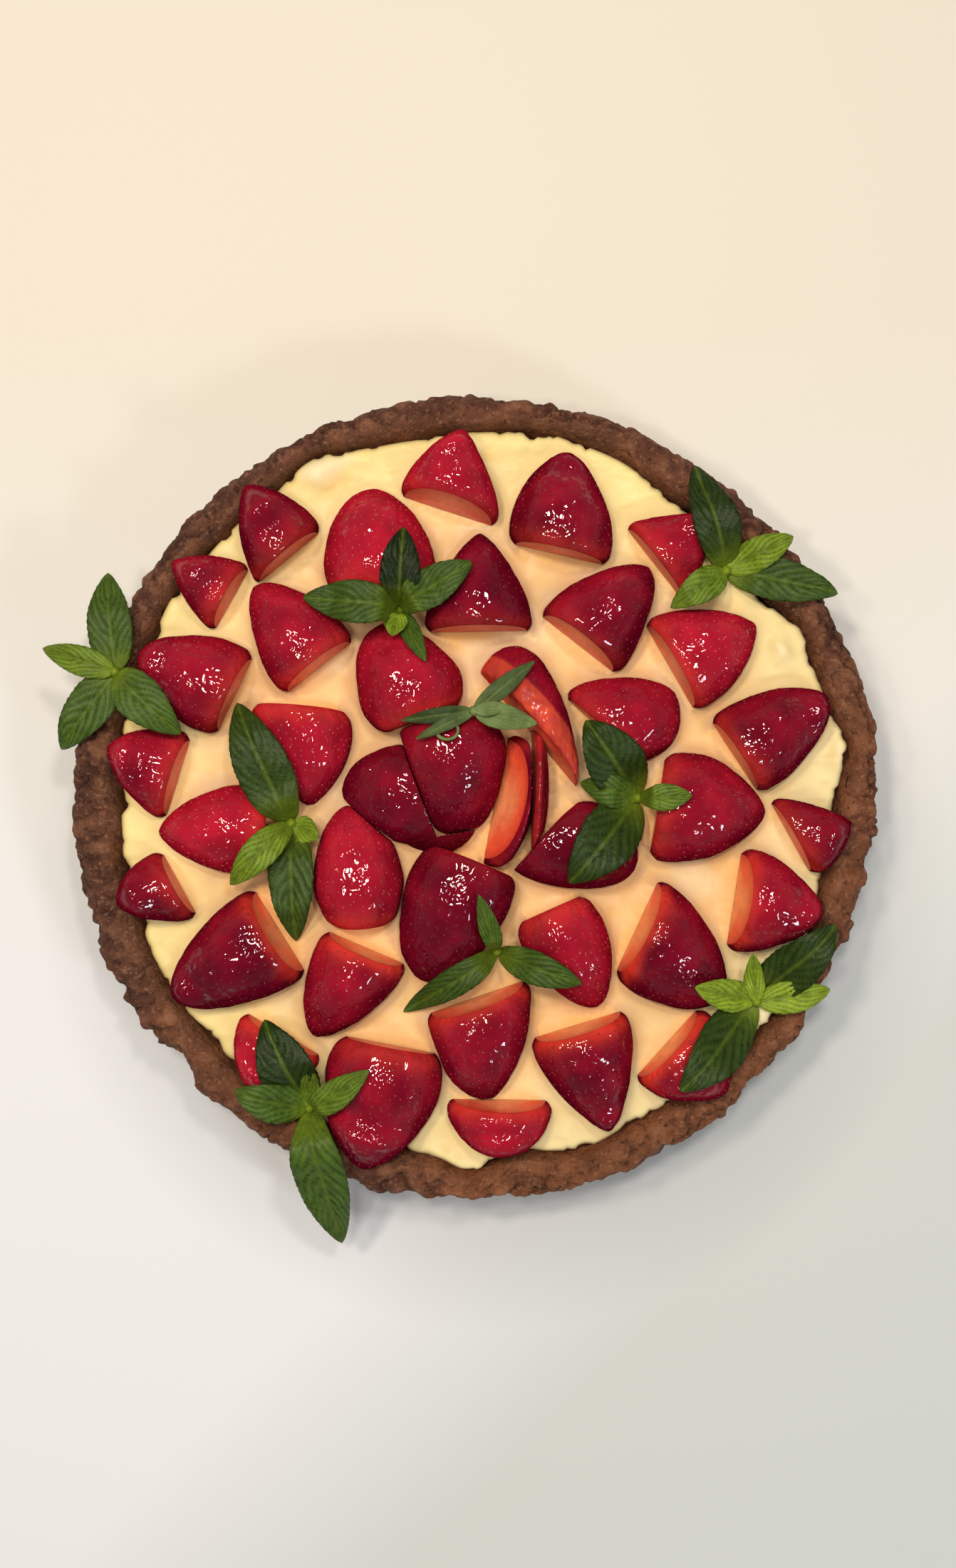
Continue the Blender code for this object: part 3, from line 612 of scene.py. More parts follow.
def crust_profile():
    """Section of the crust from its inner floor over the rim to its underside, finely stepped."""
    rim = RIM_RADIUS - RIM_WIDTH
    shoulder = CRUST_HEIGHT - RIM_ROUND
    corners = (
        (inner_radius(FLOOR_THICKNESS), FLOOR_THICKNESS),
        (inner_radius(shoulder), shoulder),
        (rim + RIM_ROUND, CRUST_HEIGHT),
        (RIM_RADIUS - 1.8 * RIM_ROUND, CRUST_HEIGHT),
        (RIM_RADIUS, shoulder - RIM_ROUND),
        ((RIM_RADIUS + BASE_RADIUS) / 2.0, 0.4 * CRUST_HEIGHT),
        (BASE_RADIUS, 0.0),
    )
    points = []
    for (r0, z0), (r1, z1) in zip(corners, corners[1:]):
        step = CRUST_STEP if max(z0, z1) > 0.5 * CREAM_LEVEL else 1.3 * CRUST_STEP
        if r1 < rim:
            step = 3.0 * CRUST_STEP
        count = max(1, round(math.hypot(r1 - r0, z1 - z0) / step))
        points += [(r0 + (r1 - r0) * i / count, z0 + (z1 - z0) * i / count) for i in range(count)]
    points.append(corners[-1])
    points = np.array(points)
    for _ in range(3):
        points[1:-1] = 0.25 * points[:-2] + 0.5 * points[1:-1] + 0.25 * points[2:]
    inner_floor = [(0.35 * RIM_RADIUS, FLOOR_THICKNESS), (0.75 * RIM_RADIUS, FLOOR_THICKNESS)]
    underside = [(0.8 * BASE_RADIUS, 0.0), (0.3 * BASE_RADIUS, 0.0)]
    return np.vstack([inner_floor, points, underside])


def crust_piece():
    """The shell with its craggy rim, crumbs and cracks."""
    profile = crust_profile()
    angles = np.linspace(0.0, math.tau, CRUST_TURN, endpoint=False)
    radius, height = (np.repeat(profile[:, axis], CRUST_TURN) for axis in (0, 1))
    turn = np.tile(angles, len(profile))
    outward = circle(turn)
    start = circle(turn, radius, height)
    points = start.copy()

    low = height < 0.4 * CRUST_HEIGHT
    start_of_rim = inner_radius(height) + 0.3 * RIM_WIDTH
    share = ramp_up(0.0, 1.0, (radius - start_of_rim) / (RIM_RADIUS - start_of_rim))
    share = np.where(low & (radius > inner_radius(FLOOR_THICKNESS) + 0.001), 1.0, share)
    inner = np.tile(inner_move(angles), len(profile))
    outer = np.tile(edge_move(angles, OUTER_SHAPE, EDGE_SEED), len(profile))
    wall = radius > 0.5 * RIM_RADIUS
    raised = height > 0.0004
    shown = raised & (height > FLOOR_THICKNESS + 0.001) | (radius > inner_radius(0.0) + 0.002)

    crags = CRAG_HEIGHT * noise_at(start, CRAG_SIZE)
    lumps = noise_at(start, LUMP_WIDTH, 5.0, 3)
    crumbs = noise_at(start, CRUMB_WIDTH, 9.0, 3)
    billows = np.abs(noise_at(start * (1.0, 1.0, 0.7), BILLOW_SIZE, 3.0, 2))
    crack = np.exp(-(billows / 0.06) ** 2) * ramp_up(-0.35, 0.15, noise_at(start, 0.02, 7.0))
    rough = BILLOW_HEIGHT * (np.minimum(billows, 0.5) - 0.2) + LUMP_HEIGHT * lumps
    rough += CRUMB_HEIGHT * crumbs - CRACK_DEPTH * crack
    chips = ramp_up(0.22, 0.5, noise_at(start * (1.0, 1.0, 0.5), CHIP_SIZE, 21.0, 2))

    move = (1.0 - share) * (inner + rough * shown) + share * (outer + crags + rough * 1.2)
    move -= CHIP_DEPTH * chips * ramp_up(0.75, 1.0, share)
    points += outward * (move * wall)[:, None]
    on_top = height > 0.9 * CRUST_HEIGHT
    lift = CRAG_HEIGHT * noise_at(points + (0.05, 0.0, 0.0), CRAG_SIZE)
    top_share = ramp_up(0.86 * CRUST_HEIGHT, 0.97 * CRUST_HEIGHT, height)
    points[:, 2] += np.where(on_top, lift, 0.0) + top_share * rough * 1.3
    points[:, 2] = np.where(raised, points[:, 2], start[:, 2])

    # Colours: painted light at lower right, dull at left, painted shade in hollows, painted
    # highlights on lumps.
    # Random tone, with painted light towards the lower right and less of it towards the top.
    tone_and_painted_light = ramp_up(-0.5, 0.6, noise_at(start, 0.05, 11.0) + 0.45 * np.cos(turn + 0.9))
    tone_and_painted_light = tone_and_painted_light * (1.0 - 0.8 * ramp_up(0.3, 0.9, np.sin(turn - 0.15)))
    dull = ramp_up(-0.2, 0.8, np.cos(turn - math.radians(175.0)))
    # Painted light: the inner wall, which lies in shade, is made lighter.
    inside = (1.0 - ramp_up(0.0, 0.15, share)) * (height > FLOOR_THICKNESS + 0.002)
    # Painted shade: darker in hollows and cracks.
    hollow = np.clip(-(lumps * 0.5 + crumbs * 0.35) + 1.2 * crack, 0.0, 1.0)
    # Painted highlights: lighter on raised lumps, crumbs and billows.
    high = np.clip(lumps * 0.4 + crumbs * 0.5 + 1.6 * (billows - 0.22), 0.0, 1.0)
    colours = layered(
        mix(CRUST_DARK, CRUST_WARM_LIT, tone_and_painted_light), (CRUST_DULL, 0.55 * dull), (CRUST_WALL_LIT, 0.28 * inside),
        (CRUST_HOLLOW_SHADE, 0.75 * hollow * shown), (CRUST_PAINTED_HIGHLIGHT, 0.5 * high))

    faces = closed_faces(len(profile), CRUST_TURN)
    points = np.vstack([points, (0.0, 0.0, FLOOR_THICKNESS), (0.0, 0.0, 0.0)])
    colours = np.vstack([colours, colours[:1], colours[:1]])
    add_piece("crust", points, faces, colours, [crust_material()])


# --- Berries ---

def berry_floor(x, y):
    """Height on which a berry lies: just over the cream, and over the crust's rim near the edge."""
    over_cream = CREAM_LEVEL + CONTACT_GAP
    over_rim = CRUST_HEIGHT + RIM_CLEARANCE
    return over_cream + (over_rim - over_cream) * ramp_up(RISE_START, RISE_END, np.hypot(x, y))


def axes(heading):
    """Forward and left directions of what points to a heading in degrees."""
    turn = math.radians(heading)
    fore = np.array((math.cos(turn), math.sin(turn), 0.0))
    return fore, np.array((-fore[1], fore[0], 0.0))


def berry_skin(berry, t, angle):
    """Points of a cut berry's skin at shares t of its length and angles round its arch."""
    x, y, heading, width, length, skew, height, breadth, lean, shoulder = berry[1:11]
    fore, left = axes(heading)
    t = np.minimum(t, 0.99999)
    pinch = shoulder * np.maximum(1.0 - t / SHOULDER_LENGTH, 0.0) ** 2
    half_width = 0.5 * width * (1.0 - t ** (1.25 + breadth)) ** (0.9 - 0.4 * breadth)
    half_width = half_width * (1.0 - pinch)
    arch = height * (1.0 - t ** 2.3) ** 0.6 * (1.0 - pinch)
    half_width = half_width - 1.7 * np.clip(1.0 - length * t / 3.2, 0.0, 1.0) ** 2
    arch = arch - 1.2 * np.clip(1.0 - length * t / 2.4, 0.0, 1.0) ** 2
    side = np.cos(angle)
    up = np.maximum(np.sin(angle), 0.0) ** 0.9
    along = length * t + lean * up * (1.0 - t) * arch / height
    across = half_width * side + skew * t
    place = (np.array((x, y, 0.0)) + fore * along[:, None] + left * across[:, None]) * MM
    lump = BERRY_LUMP * noise_at(place + (x, y, height), LUMP_SIZE)
    place += left * (half_width * side * lump * MM)[:, None]
    place[:, 2] = berry_floor(place[:, 0], place[:, 1]) + arch * up * (1.0 + lump) * MM
    return place


def plane_directions():
    """Directions in which two neighbouring berries may be parted."""
    tilts = [math.radians(tilt) for tilt in range(-48, 49, 12)]
    turns = [math.radians(turn) for turn in range(0, 360, 5)]
    return np.array([(math.cos(tilt) * math.cos(turn), math.cos(tilt) * math.sin(turn),
                      math.sin(tilt)) for tilt in tilts for turn in turns])


def parting_planes():
    """For each berry, the planes between its solid and its neighbours' solids."""
    near = 0.0015
    directions = plane_directions()
    shadows = {name: solid_points(name) @ directions.T for name in BERRY_NAMES}
    planes = {name: [] for name in BERRY_NAMES}
    for index, first in enumerate(BERRY_NAMES):
        for second in BERRY_NAMES[index + 1:]:
            reach = shadows[first].max(0)
            gap = shadows[second].min(0) - reach
            best = int(gap.argmax())
            if gap[best] < near:
                middle = reach[best] + 0.5 * gap[best]
                margin = 0.5 * min(CONTACT_GAP, max(gap[best], 0.0))
                planes[first].append((directions[best], middle - margin))
                planes[second].append((-directions[best], -middle - margin))
    return planes


def press_against(points, planes):
    """Hold points back behind planes, with a soft turn where the berry meets them."""
    softness = 0.0005
    for direction, level in planes:
        beyond = points @ direction - level
        held = 0.5 * (beyond - np.sqrt(beyond * beyond + softness * softness))
        points = points - direction * (beyond - held)[:, None]
    return points


def seed_spots(skin, rows, columns, draw):
    """Grid places of the seeds: staggered rows round the arch, a little uneven."""
    spots = []
    grid = skin.reshape(rows, columns, 3)
    travelled = distances_along(grid[:, columns // 2])
    distance, turn = 0.0018, 0
    while distance < travelled[-1] - 0.0006:
        row = min(int(np.searchsorted(travelled, distance)), rows - 1)
        around = distances_along(grid[row])
        place = 0.0012 + 0.5 * SEED_GAP * (turn % 2)
        while place < around[-1] - 0.0011:
            wanted = place + draw.uniform(-0.0006, 0.0006)
            shift = round(draw.uniform(-1.4, 1.4))
            column = int(np.searchsorted(around, wanted))
            if draw.random() < SEED_SHARE:
                spots.append((min(max(row + shift, 2), rows - 1), min(column, columns - 2)))
            place += SEED_GAP
        distance += SEED_ROW_GAP
        turn += 1
    return spots


def seed_shape():
    """Points and faces of one seed, 20 triangles, pointing along +X."""
    bm = bmesh.new()
    bmesh.ops.create_icosphere(bm, subdivisions=1, radius=1.0)
    points, faces = shape_parts(bm)
    taper = 1.0 - 0.35 * points[:, :1]
    return points * np.hstack([np.ones_like(taper), taper, taper]) * SEED_SIZE, faces


SEED_POINTS, SEED_FACES = seed_shape()


def berry_piece(berry, planes, materials):
    """One glazed berry with seeds and a graded cut face; returns its outline on the cream."""
    name, _, _, heading, width, length, _, height, _, _, _, tone, glow = berry
    fore = axes(heading)[0]
    draw = random.Random(name)
    columns = round((0.6 * width + 1.6 * height) * MM / BERRY_STEP)
    rows = max(12, round(1.05 * length * MM / BERRY_STEP))

    # Skin, from the cut face to the tip, and the strip of the underside beneath each ring.
    near_cut = np.array((0.0, 0.2, 0.5, 0.9, 1.35)) / length
    share = np.sin(0.5 * math.pi * np.arange(rows) / rows)
    share = np.concatenate([near_cut, share[share > 1.6 / length]])
    rows = len(share)
    angle = np.linspace(0.0, math.pi, columns)
    t_grid = np.repeat(share, columns)
    skin = berry_skin(berry, t_grid, np.tile(angle, rows)).reshape(rows, columns, 3)
    inside = np.linspace(0.0, 1.0, BASE_COLUMNS + 2)[1:-1]
    base = skin[:, -1:] + (skin[:, :1] - skin[:, -1:]) * inside[None, :, None]
    base[..., 2] = berry_floor(base[..., 0], base[..., 1])
    around = columns + BASE_COLUMNS
    rings = np.concatenate([skin, base], axis=1)
    tip = berry_skin(berry, np.array([1.0]), np.array([0.5 * math.pi]))

    # Cut face: rings that shrink towards its middle.
    middle = 0.5 * (skin[0, columns // 2] + 0.5 * (skin[0, 0] + skin[0, -1]))
    inward = np.linspace(0.0, 1.0, FACE_ROWS + 1)[1:-1]
    inward = np.concatenate([[0.02], inward])
    cut = middle + (rings[0][None] - middle) * (1.0 - inward)[:, None, None]
    hollow = HOLLOW_DEPTH * np.sin(0.5 * math.pi * inward)
    cut = cut + fore * hollow[:, None, None]

    centre_point = middle[None] + fore * HOLLOW_DEPTH
    points = np.vstack([rings.reshape(-1, 3), tip, cut.reshape(-1, 3), centre_point])
    faces = grid_faces(rows, around, wrap=True)
    tip_index = rows * around
    faces += fan_faces(tip_index - around, around, tip_index)
    skin_faces = len(faces)
    cut_start = tip_index + 1
    faces += [((i + 1) % around, i, cut_start + i, cut_start + (i + 1) % around)
              for i in range(around)]
    faces += flipped(grid_faces(len(inward), around, cut_start, wrap=True))
    centre = len(points) - 1
    faces += flipped(fan_faces(centre - around, around, centre))

    points = press_against(points, planes)
    normals = point_normals(points, faces)
    if normals[columns // 2 + around * (rows // 2)][2] < 0.0:
        faces = flipped(faces)
        normals = -normals

    # Dimples round the seeds and a slight quilting between them.
    count = rows * around
    is_skin = np.zeros(len(points), bool)
    is_skin[:count] = (np.arange(count) % around) < columns
    skin_only = points[:count].reshape(rows, around, 3)[:, :columns].reshape(-1, 3)
    spots = seed_spots(skin_only, rows, columns, draw)
    spot_index = np.array([row * around + column for row, column in spots])
    seeds, seed_normals = points[spot_index], normals[spot_index]
    distance = np.linalg.norm(points[is_skin][:, None] - seeds[None], axis=2).min(1)
    dimple = np.zeros(len(points))
    dimple[is_skin] = -DIMPLE_DEPTH * np.exp(-(distance / DIMPLE_SIZE) ** 2)
    dimple[is_skin] += 0.00008 * np.exp(-((distance - 0.0014) / 0.0006) ** 2)
    dimple += np.where(is_skin, SWELL_HEIGHT * noise_at(points, 0.0038, 2.0, 2), 0.0)
    dimple[:around] *= 0.2
    points = points + normals * dimple[:, None]

    # Colours: painted shade low and facing -Y, painted light facing +Y, brighter flesh beneath the
    # cut edge.
    above = points[:, 2] - berry_floor(points[:, 0], points[:, 1])
    level = above / (height * MM)
    patch = 0.3 * noise_at(points, 0.011, 4.0, 2)
    # Tone and patches, with painted light and shade from the normals and painted shade near the
    # base.
    tone_and_painted_shade = tone + patch + 0.28 * normals[:, 1] - 0.3 * (1.0 - ramp_up(0.0, 0.6, level))
    colours = mix(SKIN_DARK, SKIN_BRIGHT, np.clip(tone_and_painted_shade, 0.0, 1.0))
    # Painted shade: darker still near the underside.
    colours *= (0.75 + 0.25 * ramp_up(0.0, 0.3, level))[:, None]
    behind = (points - (points[0] + points[columns - 1]) * 0.5) @ fore
    reach = SHINE_DEPTH + SHINE_UNEVEN * noise_at(points, 0.008, 6.0)
    shine = glow * np.exp(-(np.maximum(behind, 0.0) / reach) ** 2) * ramp_up(0.1, 0.5, level)
    colours = mix(colours, SKIN_GLOW, 0.85 * shine)
    wet = ramp_up(WET_FROM, WET_FULL, normals[:, 2])
    if name in BARE_REACH:
        travelled = np.full(len(points), 99.0)
        travelled[:count] = np.repeat(share, around) * length
        bare = 1.0 - ramp_up(BARE_REACH[name] - 0.6, BARE_REACH[name] + 0.4, travelled)
        fibres = 0.5 + 0.5 * noise_at(points, 0.0025, 8.0, 2)
        colours = mix(colours, mix(FLESH_SALMON, FLESH_ORANGE, fibres) * 0.66, bare)
        seed_bare = travelled[spot_index] < BARE_REACH[name] + 0.5
        seeds, seed_normals = seeds[~seed_bare], seed_normals[~seed_bare]
        wet *= 1.0 - 0.7 * bare
    strip = np.concatenate([np.zeros(columns), 4.0 * inside * (1.0 - inside)])
    deep = np.maximum(inward[:, None], np.sqrt(strip)[None]).ravel()
    deep = np.concatenate([deep, [1.0]])
    outer_flesh = FLESH_SALMON * (1.0 - glow) + FLESH_ORANGE * glow
    inner_flesh = FLESH_ROSE * (1.0 - glow) + FLESH_PALE * glow
    flesh = mix(outer_flesh, inner_flesh, ramp_up(0.25, 1.0, deep))
    edge_red = 0.5 * (SKIN_BRIGHT + outer_flesh)
    flesh = mix(np.broadcast_to(edge_red, flesh.shape), flesh, ramp_up(0.0, 0.3, deep))
    colours[cut_start:] = flesh

    seed_parts, seed_faces = [], []
    for place, normal in zip(seeds, seed_normals):
        ahead = fore - normal * (fore @ normal)
        ahead = ahead / max(np.linalg.norm(ahead), 1e-9)
        frame_axes = np.stack([ahead, np.cross(normal, ahead), normal])
        offset = len(points) + len(seed_parts) * len(SEED_POINTS)
        seed_parts.append(SEED_POINTS @ frame_axes + place - normal * SEED_DEPTH)
        seed_faces += [tuple(offset + i for i in face) for face in SEED_FACES]
    seed_colour = mix(SEED_DARK, SEED_BRIGHT, np.array([tone]))[0]
    wet = np.concatenate([wet, np.ones(len(seed_parts) * len(SEED_POINTS))])
    kinds = np.repeat((0, 1, 2), (skin_faces, len(faces) - skin_faces, len(seed_faces)))
    colours = np.vstack([colours, np.tile(seed_colour, (len(wet) - len(points), 1))])
    points = np.vstack([points] + seed_parts)
    add_piece(name, points, faces + seed_faces, colours, materials, kinds, wet)

    outline = [(points[row * around + side], 0.0) for side in (0, columns - 1)
               for row in range(rows)]
    outline += [(points[i], 0.3 + 0.7 * glow) for i in range(columns - 1, around)]
    return outline


# --- Cream ---

def cream_relief(x, y, clear):
    """Height of the cream's swept ridges over its level, falling to nothing near a berry."""
    angle = np.arctan2(y, x)
    radius = np.hypot(x, y)
    relief = np.zeros_like(x)
    for bearing, distance, length, width, height in CREAM_RIDGES:
        along = turn_from(bearing, angle) * radius / (0.5 * length * MM)
        across = (radius - distance * MM) / (0.5 * width * MM)
        relief += height * MM * np.exp(-along * along - across * across)
    return relief * ramp_up(RIDGE_CLEARANCE * 0.5, RIDGE_CLEARANCE * 1.6, clear)


def nearest_in_plan(x, y, spots):
    """For each point in plan, the distance to the nearest of some spots, and which it is."""
    tree = KDTree(len(spots))
    for index, (place, _) in enumerate(spots):
        tree.insert((place[0], place[1], 0.0), index)
    tree.balance()
    found = [tree.find((a, b, 0.0)) for a, b in zip(x, y)]
    return np.array([f[2] for f in found]), np.array([f[1] for f in found])


def under_berries(x, y):
    """Which points in plan lie beneath a berry."""
    tree = solid_tree(BERRY_NAMES)
    start, up = CREAM_LEVEL - 0.001, Vector((0.0, 0.0, 1.0))
    return np.array([tree.ray_cast(Vector((a, b, start)), up)[0] is not None
                     for a, b in zip(x, y)])


def cream_piece(outline):
    """The filling: level, swept up at the crust, soft at its edge; fruit stain, painted shade and
    glow.
    """
    edge = inner_radius(CREAM_LEVEL - CREAM_EDGE_DROP) - CREAM_SIDE_GAP
    foot = inner_radius(FLOOR_THICKNESS) - CREAM_SIDE_GAP
    rings = int(edge / CREAM_STEP)
    angles = np.linspace(0.0, math.tau, CREAM_TURN, endpoint=False)
    share = np.repeat(np.arange(1, rings + 1) / rings, CREAM_TURN)
    turn = np.tile(angles, rings)
    wander = inner_move(angles)
    loops = circle(angles, 9.0)
    notch = NOTCH_DEPTH * ramp_up(0.05, 0.5, noise_at(loops, 1.0, 2.0, 2))
    notch += 0.0011 * ramp_up(0.0, 0.5, noise_at(loops * 2.8, 1.0, 12.0, 2))
    bend = ramp_up(CREAM_BEND, edge - CREAM_EDGE_ROUND, share * edge)
    radius = share * edge + bend * np.tile(wander - notch, rings)
    flat = circle(turn, radius)
    x, y = flat[:, 0], flat[:, 1]

    solids = np.vstack([solid_points(name)[:, :2] for name in BERRY_NAMES])
    clear = nearest_in_plan(x, y, [(p, 0.0) for p in solids])[0]
    away, which = nearest_in_plan(x, y, outline)
    glow = np.array([spot[1] for spot in outline])[which]
    covered = under_berries(x, y)
    relief = cream_relief(x, y, clear)
    z = CREAM_LEVEL + relief
    open_share = np.where(covered, 0.0, ramp_up(0.0, 0.004, away))
    ripple = RIPPLE_HEIGHT * noise_at(flat, RIPPLE_SIZE, 6.0, 2)
    ripple += 0.00007 * noise_at(flat, 0.004, 3.0, 2)
    streaks = noise_at(flat * (1.0, 2.6, 1.0), 0.008, 8.0)
    swept = STREAK_HEIGHT * ramp_up(0.1, 0.6, streaks) * ramp_up(0.085, 0.11, radius)
    z += open_share * (ripple + swept)
    meniscus = np.where(covered, 0.0, MENISCUS_HEIGHT * np.exp(-(away / 0.0012) ** 2))
    z += meniscus * (radius < RISE_START)
    drop = np.clip((share * edge - edge + 0.0022) / 0.0022, 0.0, 1.0)
    z -= CREAM_EDGE_DROP * drop ** 2 + relief * drop ** 4

    # Yellow outside, peach between the berries, pale on the ridges; stain, painted shade and glow
    # by the fruit.
    outside = ramp_up(0.08, 0.106, radius + 0.006 * noise_at(flat, 0.02, 1.0))
    # Painted shade: cooler and greyer towards the lower right.
    painted_cool_shade = ramp_up(-0.02, 0.1, x * 0.8 - y * 0.6)
    yellow = mix(CREAM_YELLOW, CREAM_YELLOW * (0.92, 0.94, 1.12), painted_cool_shade)
    pale = ramp_up(0.05, 0.45, noise_at(flat, 0.026, 17.0, 2))
    amber = ramp_up(0.1, 0.4, noise_at(flat * (1.0, 1.6, 1.0), 0.013, 23.0, 3))
    # Juice stain and painted shade beside the skin.
    juice_and_shade = np.exp(-(away / JUICE_AND_SHADE_REACH) ** 2) * (glow == 0.0)
    # Painted glow: orange light from the cut faces on the cream beside them.
    near_cut = np.exp(-(away / PAINTED_GLOW_REACH) ** 2) * glow
    colours = layered(
        mix(CREAM_PEACH, yellow, outside),
        (CREAM_WHITE, 0.75 * ramp_up(0.001, 0.003, relief)),
        (CREAM_WHITE, 0.45 * pale * (1.0 - outside)),
        (CREAM_AMBER, 0.38 * amber * (1.0 - 0.6 * outside)),
        (CREAM_STAIN_AND_SHADE, 0.52 * juice_and_shade * (1.0 - 0.6 * outside)),
        (CREAM_PAINTED_GLOW, 0.5 * near_cut))

    level = FLOOR_THICKNESS + CONTACT_GAP
    walls = []
    for step in (0.25, 0.5, 0.75, 1.0):
        reach = radius[-CREAM_TURN:] * (1.0 - step) + (foot + wander) * step
        walls.append(circle(angles, reach, z[-CREAM_TURN:] * (1.0 - step) + level * step))
    walls.append(circle(angles, 0.5 * foot, level))
    points = np.vstack([circle(turn, radius, z)] + walls + [[(0.0, 0.0, z[0]), (0.0, 0.0, level)]])
    faces = closed_faces(rings + len(walls), CREAM_TURN)
    colours = np.vstack([colours, np.tile(CREAM_YELLOW, (len(points) - len(colours), 1))])
    colours[-2] = CREAM_PEACH
    add_piece("cream", points, faces, colours, [cream_material()])


# --- Mint ---

DOWN = Vector((0.0, 0.0, -1.0))
ABOVE_ALL = 0.2


def support_height(tree, x, y, reach):
    """Highest surface within a short reach of a point in plan, or 0 beside the tart."""
    hits = [tree.ray_cast(Vector((x + reach * i, y + reach * j, ABOVE_ALL)), DOWN)[0]
            for i in (-1, 0, 1) for j in (-1, 0, 1)]
    return max([hit.z for hit in hits if hit is not None], default=0.0)


def leaf_half_width(width, s):
    """Half the width of a leaf at share s of its length: oval, with a narrow foot and a point."""
    oval = np.maximum(np.sin(math.pi * np.clip(s, 0.0, 1.0) ** 0.8), 0.0) ** 0.7
    return 0.5 * width * oval + 0.0006 * (1.0 - s)


def leaf_rise(tree, centre, fore, left, length, width, above):
    """Heights of a leaf's midrib: over all that it crosses, with a limited slope, and drooping."""
    foot = centre.z + above - PAIR_SPACING
    stations = [index / LEAF_STATIONS for index in range(LEAF_STATIONS + 1)]
    under = []
    for s in stations:
        half = leaf_half_width(width, s)
        spots = [centre + fore * (s * length) + left * (half * v) for v in LEAF_PROBES]
        under.append(max(support_height(tree, p.x, p.y, 0.0016) for p in spots))
    heights = []
    for s in stations:
        lifted = [h - LEAF_SLOPE * abs(s - other) * length for h, other in zip(under, stations)]
        droop = foot + length * (0.16 * s - 0.42 * s * s)
        heights.append(max(max(lifted) + LEAF_CLEARANCE + above, droop))
    heights[0] = foot
    return heights


def smooth_heights(heights, s):
    """Heights between stations, along a smooth curve that keeps to them."""
    values = np.array([2 * heights[0] - heights[1]] + heights + [2 * heights[-1] - heights[-2]])
    place = np.clip(s * LEAF_STATIONS, 0.0, LEAF_STATIONS - 1e-6)
    index = place.astype(int)
    u = place - index
    a, b, c, d = (values[index + k] for k in range(4))
    return 0.5 * (2 * b + (c - a) * u + (2 * a - 5 * b + 4 * c - d) * u ** 2
                  + (3 * b - a - 3 * c + d) * u ** 3)


def leaf_parts(tree, centre, leaf, place_in_sprig, palette, quilt):
    """Points, faces and colours of one leaf: veined, saw-edged and closed."""
    above = PAIR_SPACING * (place_in_sprig // 2)
    phase = 1.7 * place_in_sprig
    heading, length, width, tone = leaf[0], leaf[1] * MM, leaf[2] * MM, leaf[3]
    fore, left = (Vector(axis) for axis in axes(heading))
    heights = leaf_rise(tree, centre, fore, left, length, width, above)

    s = np.repeat(np.linspace(0.0, 1.0, LEAF_ROWS), LEAF_COLUMNS)
    v = np.tile(np.linspace(-1.0, 1.0, LEAF_COLUMNS), LEAF_ROWS)
    v = np.sign(v) * np.abs(v) ** 0.9
    veins = max(4.0, round(length / VEIN_SPACING))
    half_at = leaf_half_width(width, s)
    flat = np.stack([s * length, half_at * v, np.zeros_like(s)], -1)
    sweep = s * veins - 3.0 * np.abs(v) ** 1.05 + 0.7 * noise_at(flat, 0.007, phase)
    beat = sweep - np.floor(sweep)
    tooth = (np.mod(s * veins * 2.0, 1.0) - 0.5) * np.abs(v) ** 6
    half = half_at * (1.0 - TOOTH_DEPTH * tooth * quilt * ramp_up(0.1, 0.25, s))
    points = (np.array(centre) + np.array(fore) * (LEAF_FOOT + s * length)[:, None]
              + np.array(left) * (half * v)[:, None])
    fold = LEAF_FOLD + LEAF_WAVE * np.sin(9.0 * s + phase + v)
    crease = np.exp(-(np.minimum(beat, 1.0 - beat) / 0.13) ** 2) * ramp_up(0.02, 0.15, np.abs(v))
    pillow = np.sin(math.pi * beat) * np.sin(math.pi * np.clip(np.abs(v), 0.0, 1.0)) ** 0.6
    body = ramp_up(0.0, 0.18, s) * (1.0 - ramp_up(0.9, 1.0, s))
    midrib = np.exp(-(v * half / 0.00055) ** 2)
    relief = quilt * body * (PILLOW_HEIGHT * pillow - CREASE_DEPTH * crease)
    relief -= CREASE_DEPTH * midrib
    z = smooth_heights(heights, s) + np.abs(v) * half * fold * ramp_up(0.0, 0.4, s)
    points[:, 2] = z + relief
    thick = LEAF_THICKNESS * (1.0 - 0.55 * v ** 4)
    top = points + thick[:, None] * (0.0, 0.0, 1.0)
    count = len(points)
    faces = grid_faces(LEAF_ROWS, LEAF_COLUMNS)
    faces += flipped(grid_faces(LEAF_ROWS, LEAF_COLUMNS, count))
    grid = np.arange(count).reshape(LEAF_ROWS, LEAF_COLUMNS)
    rim = np.concatenate([grid[0], grid[1:, -1], grid[-1, -2::-1], grid[-2:0:-1, 0]]).tolist()
    faces += [(j, i, count + i, count + j) for i, j in zip(rim, rim[1:] + rim[:1])]

    dark, middle, bright = palette
    base = (dark * (1 - tone * 2) + middle * tone * 2) if tone < 0.5 else (
        middle * (2 - tone * 2) + bright * (tone * 2 - 1))
    young = np.exp(-(s / 0.16) ** 2)
    # Painted shade darkens the creases and painted highlights lighten the puckers between the
    # veins.
    colours = layered(
        np.tile(base, (count, 1)), (base * 0.35, 0.7 * crease * quilt),
        (base * 2.0, 0.55 * pillow * quilt), (bright * 0.9, 0.55 * young),
        (middle * 0.5 + bright * 0.4, 0.5 * midrib))
    under = mix(colours, middle * 0.8 + bright * 0.2, 0.4 * np.ones(count))
    return np.vstack([top, points]), faces, np.vstack([colours, under])


def stem_parts(centre, colour):
    """Points, faces and colours of the short stem where the leaves meet."""
    bm = bmesh.new()
    bmesh.ops.create_uvsphere(bm, u_segments=16, v_segments=10, radius=STEM_RADIUS * 0.85)
    points, faces = shape_parts(bm)
    points = points * (1.0, 1.0, STEM_HALF_HEIGHT / STEM_RADIUS) + np.array(centre)
    return points, faces, np.tile(colour, (len(points), 1))


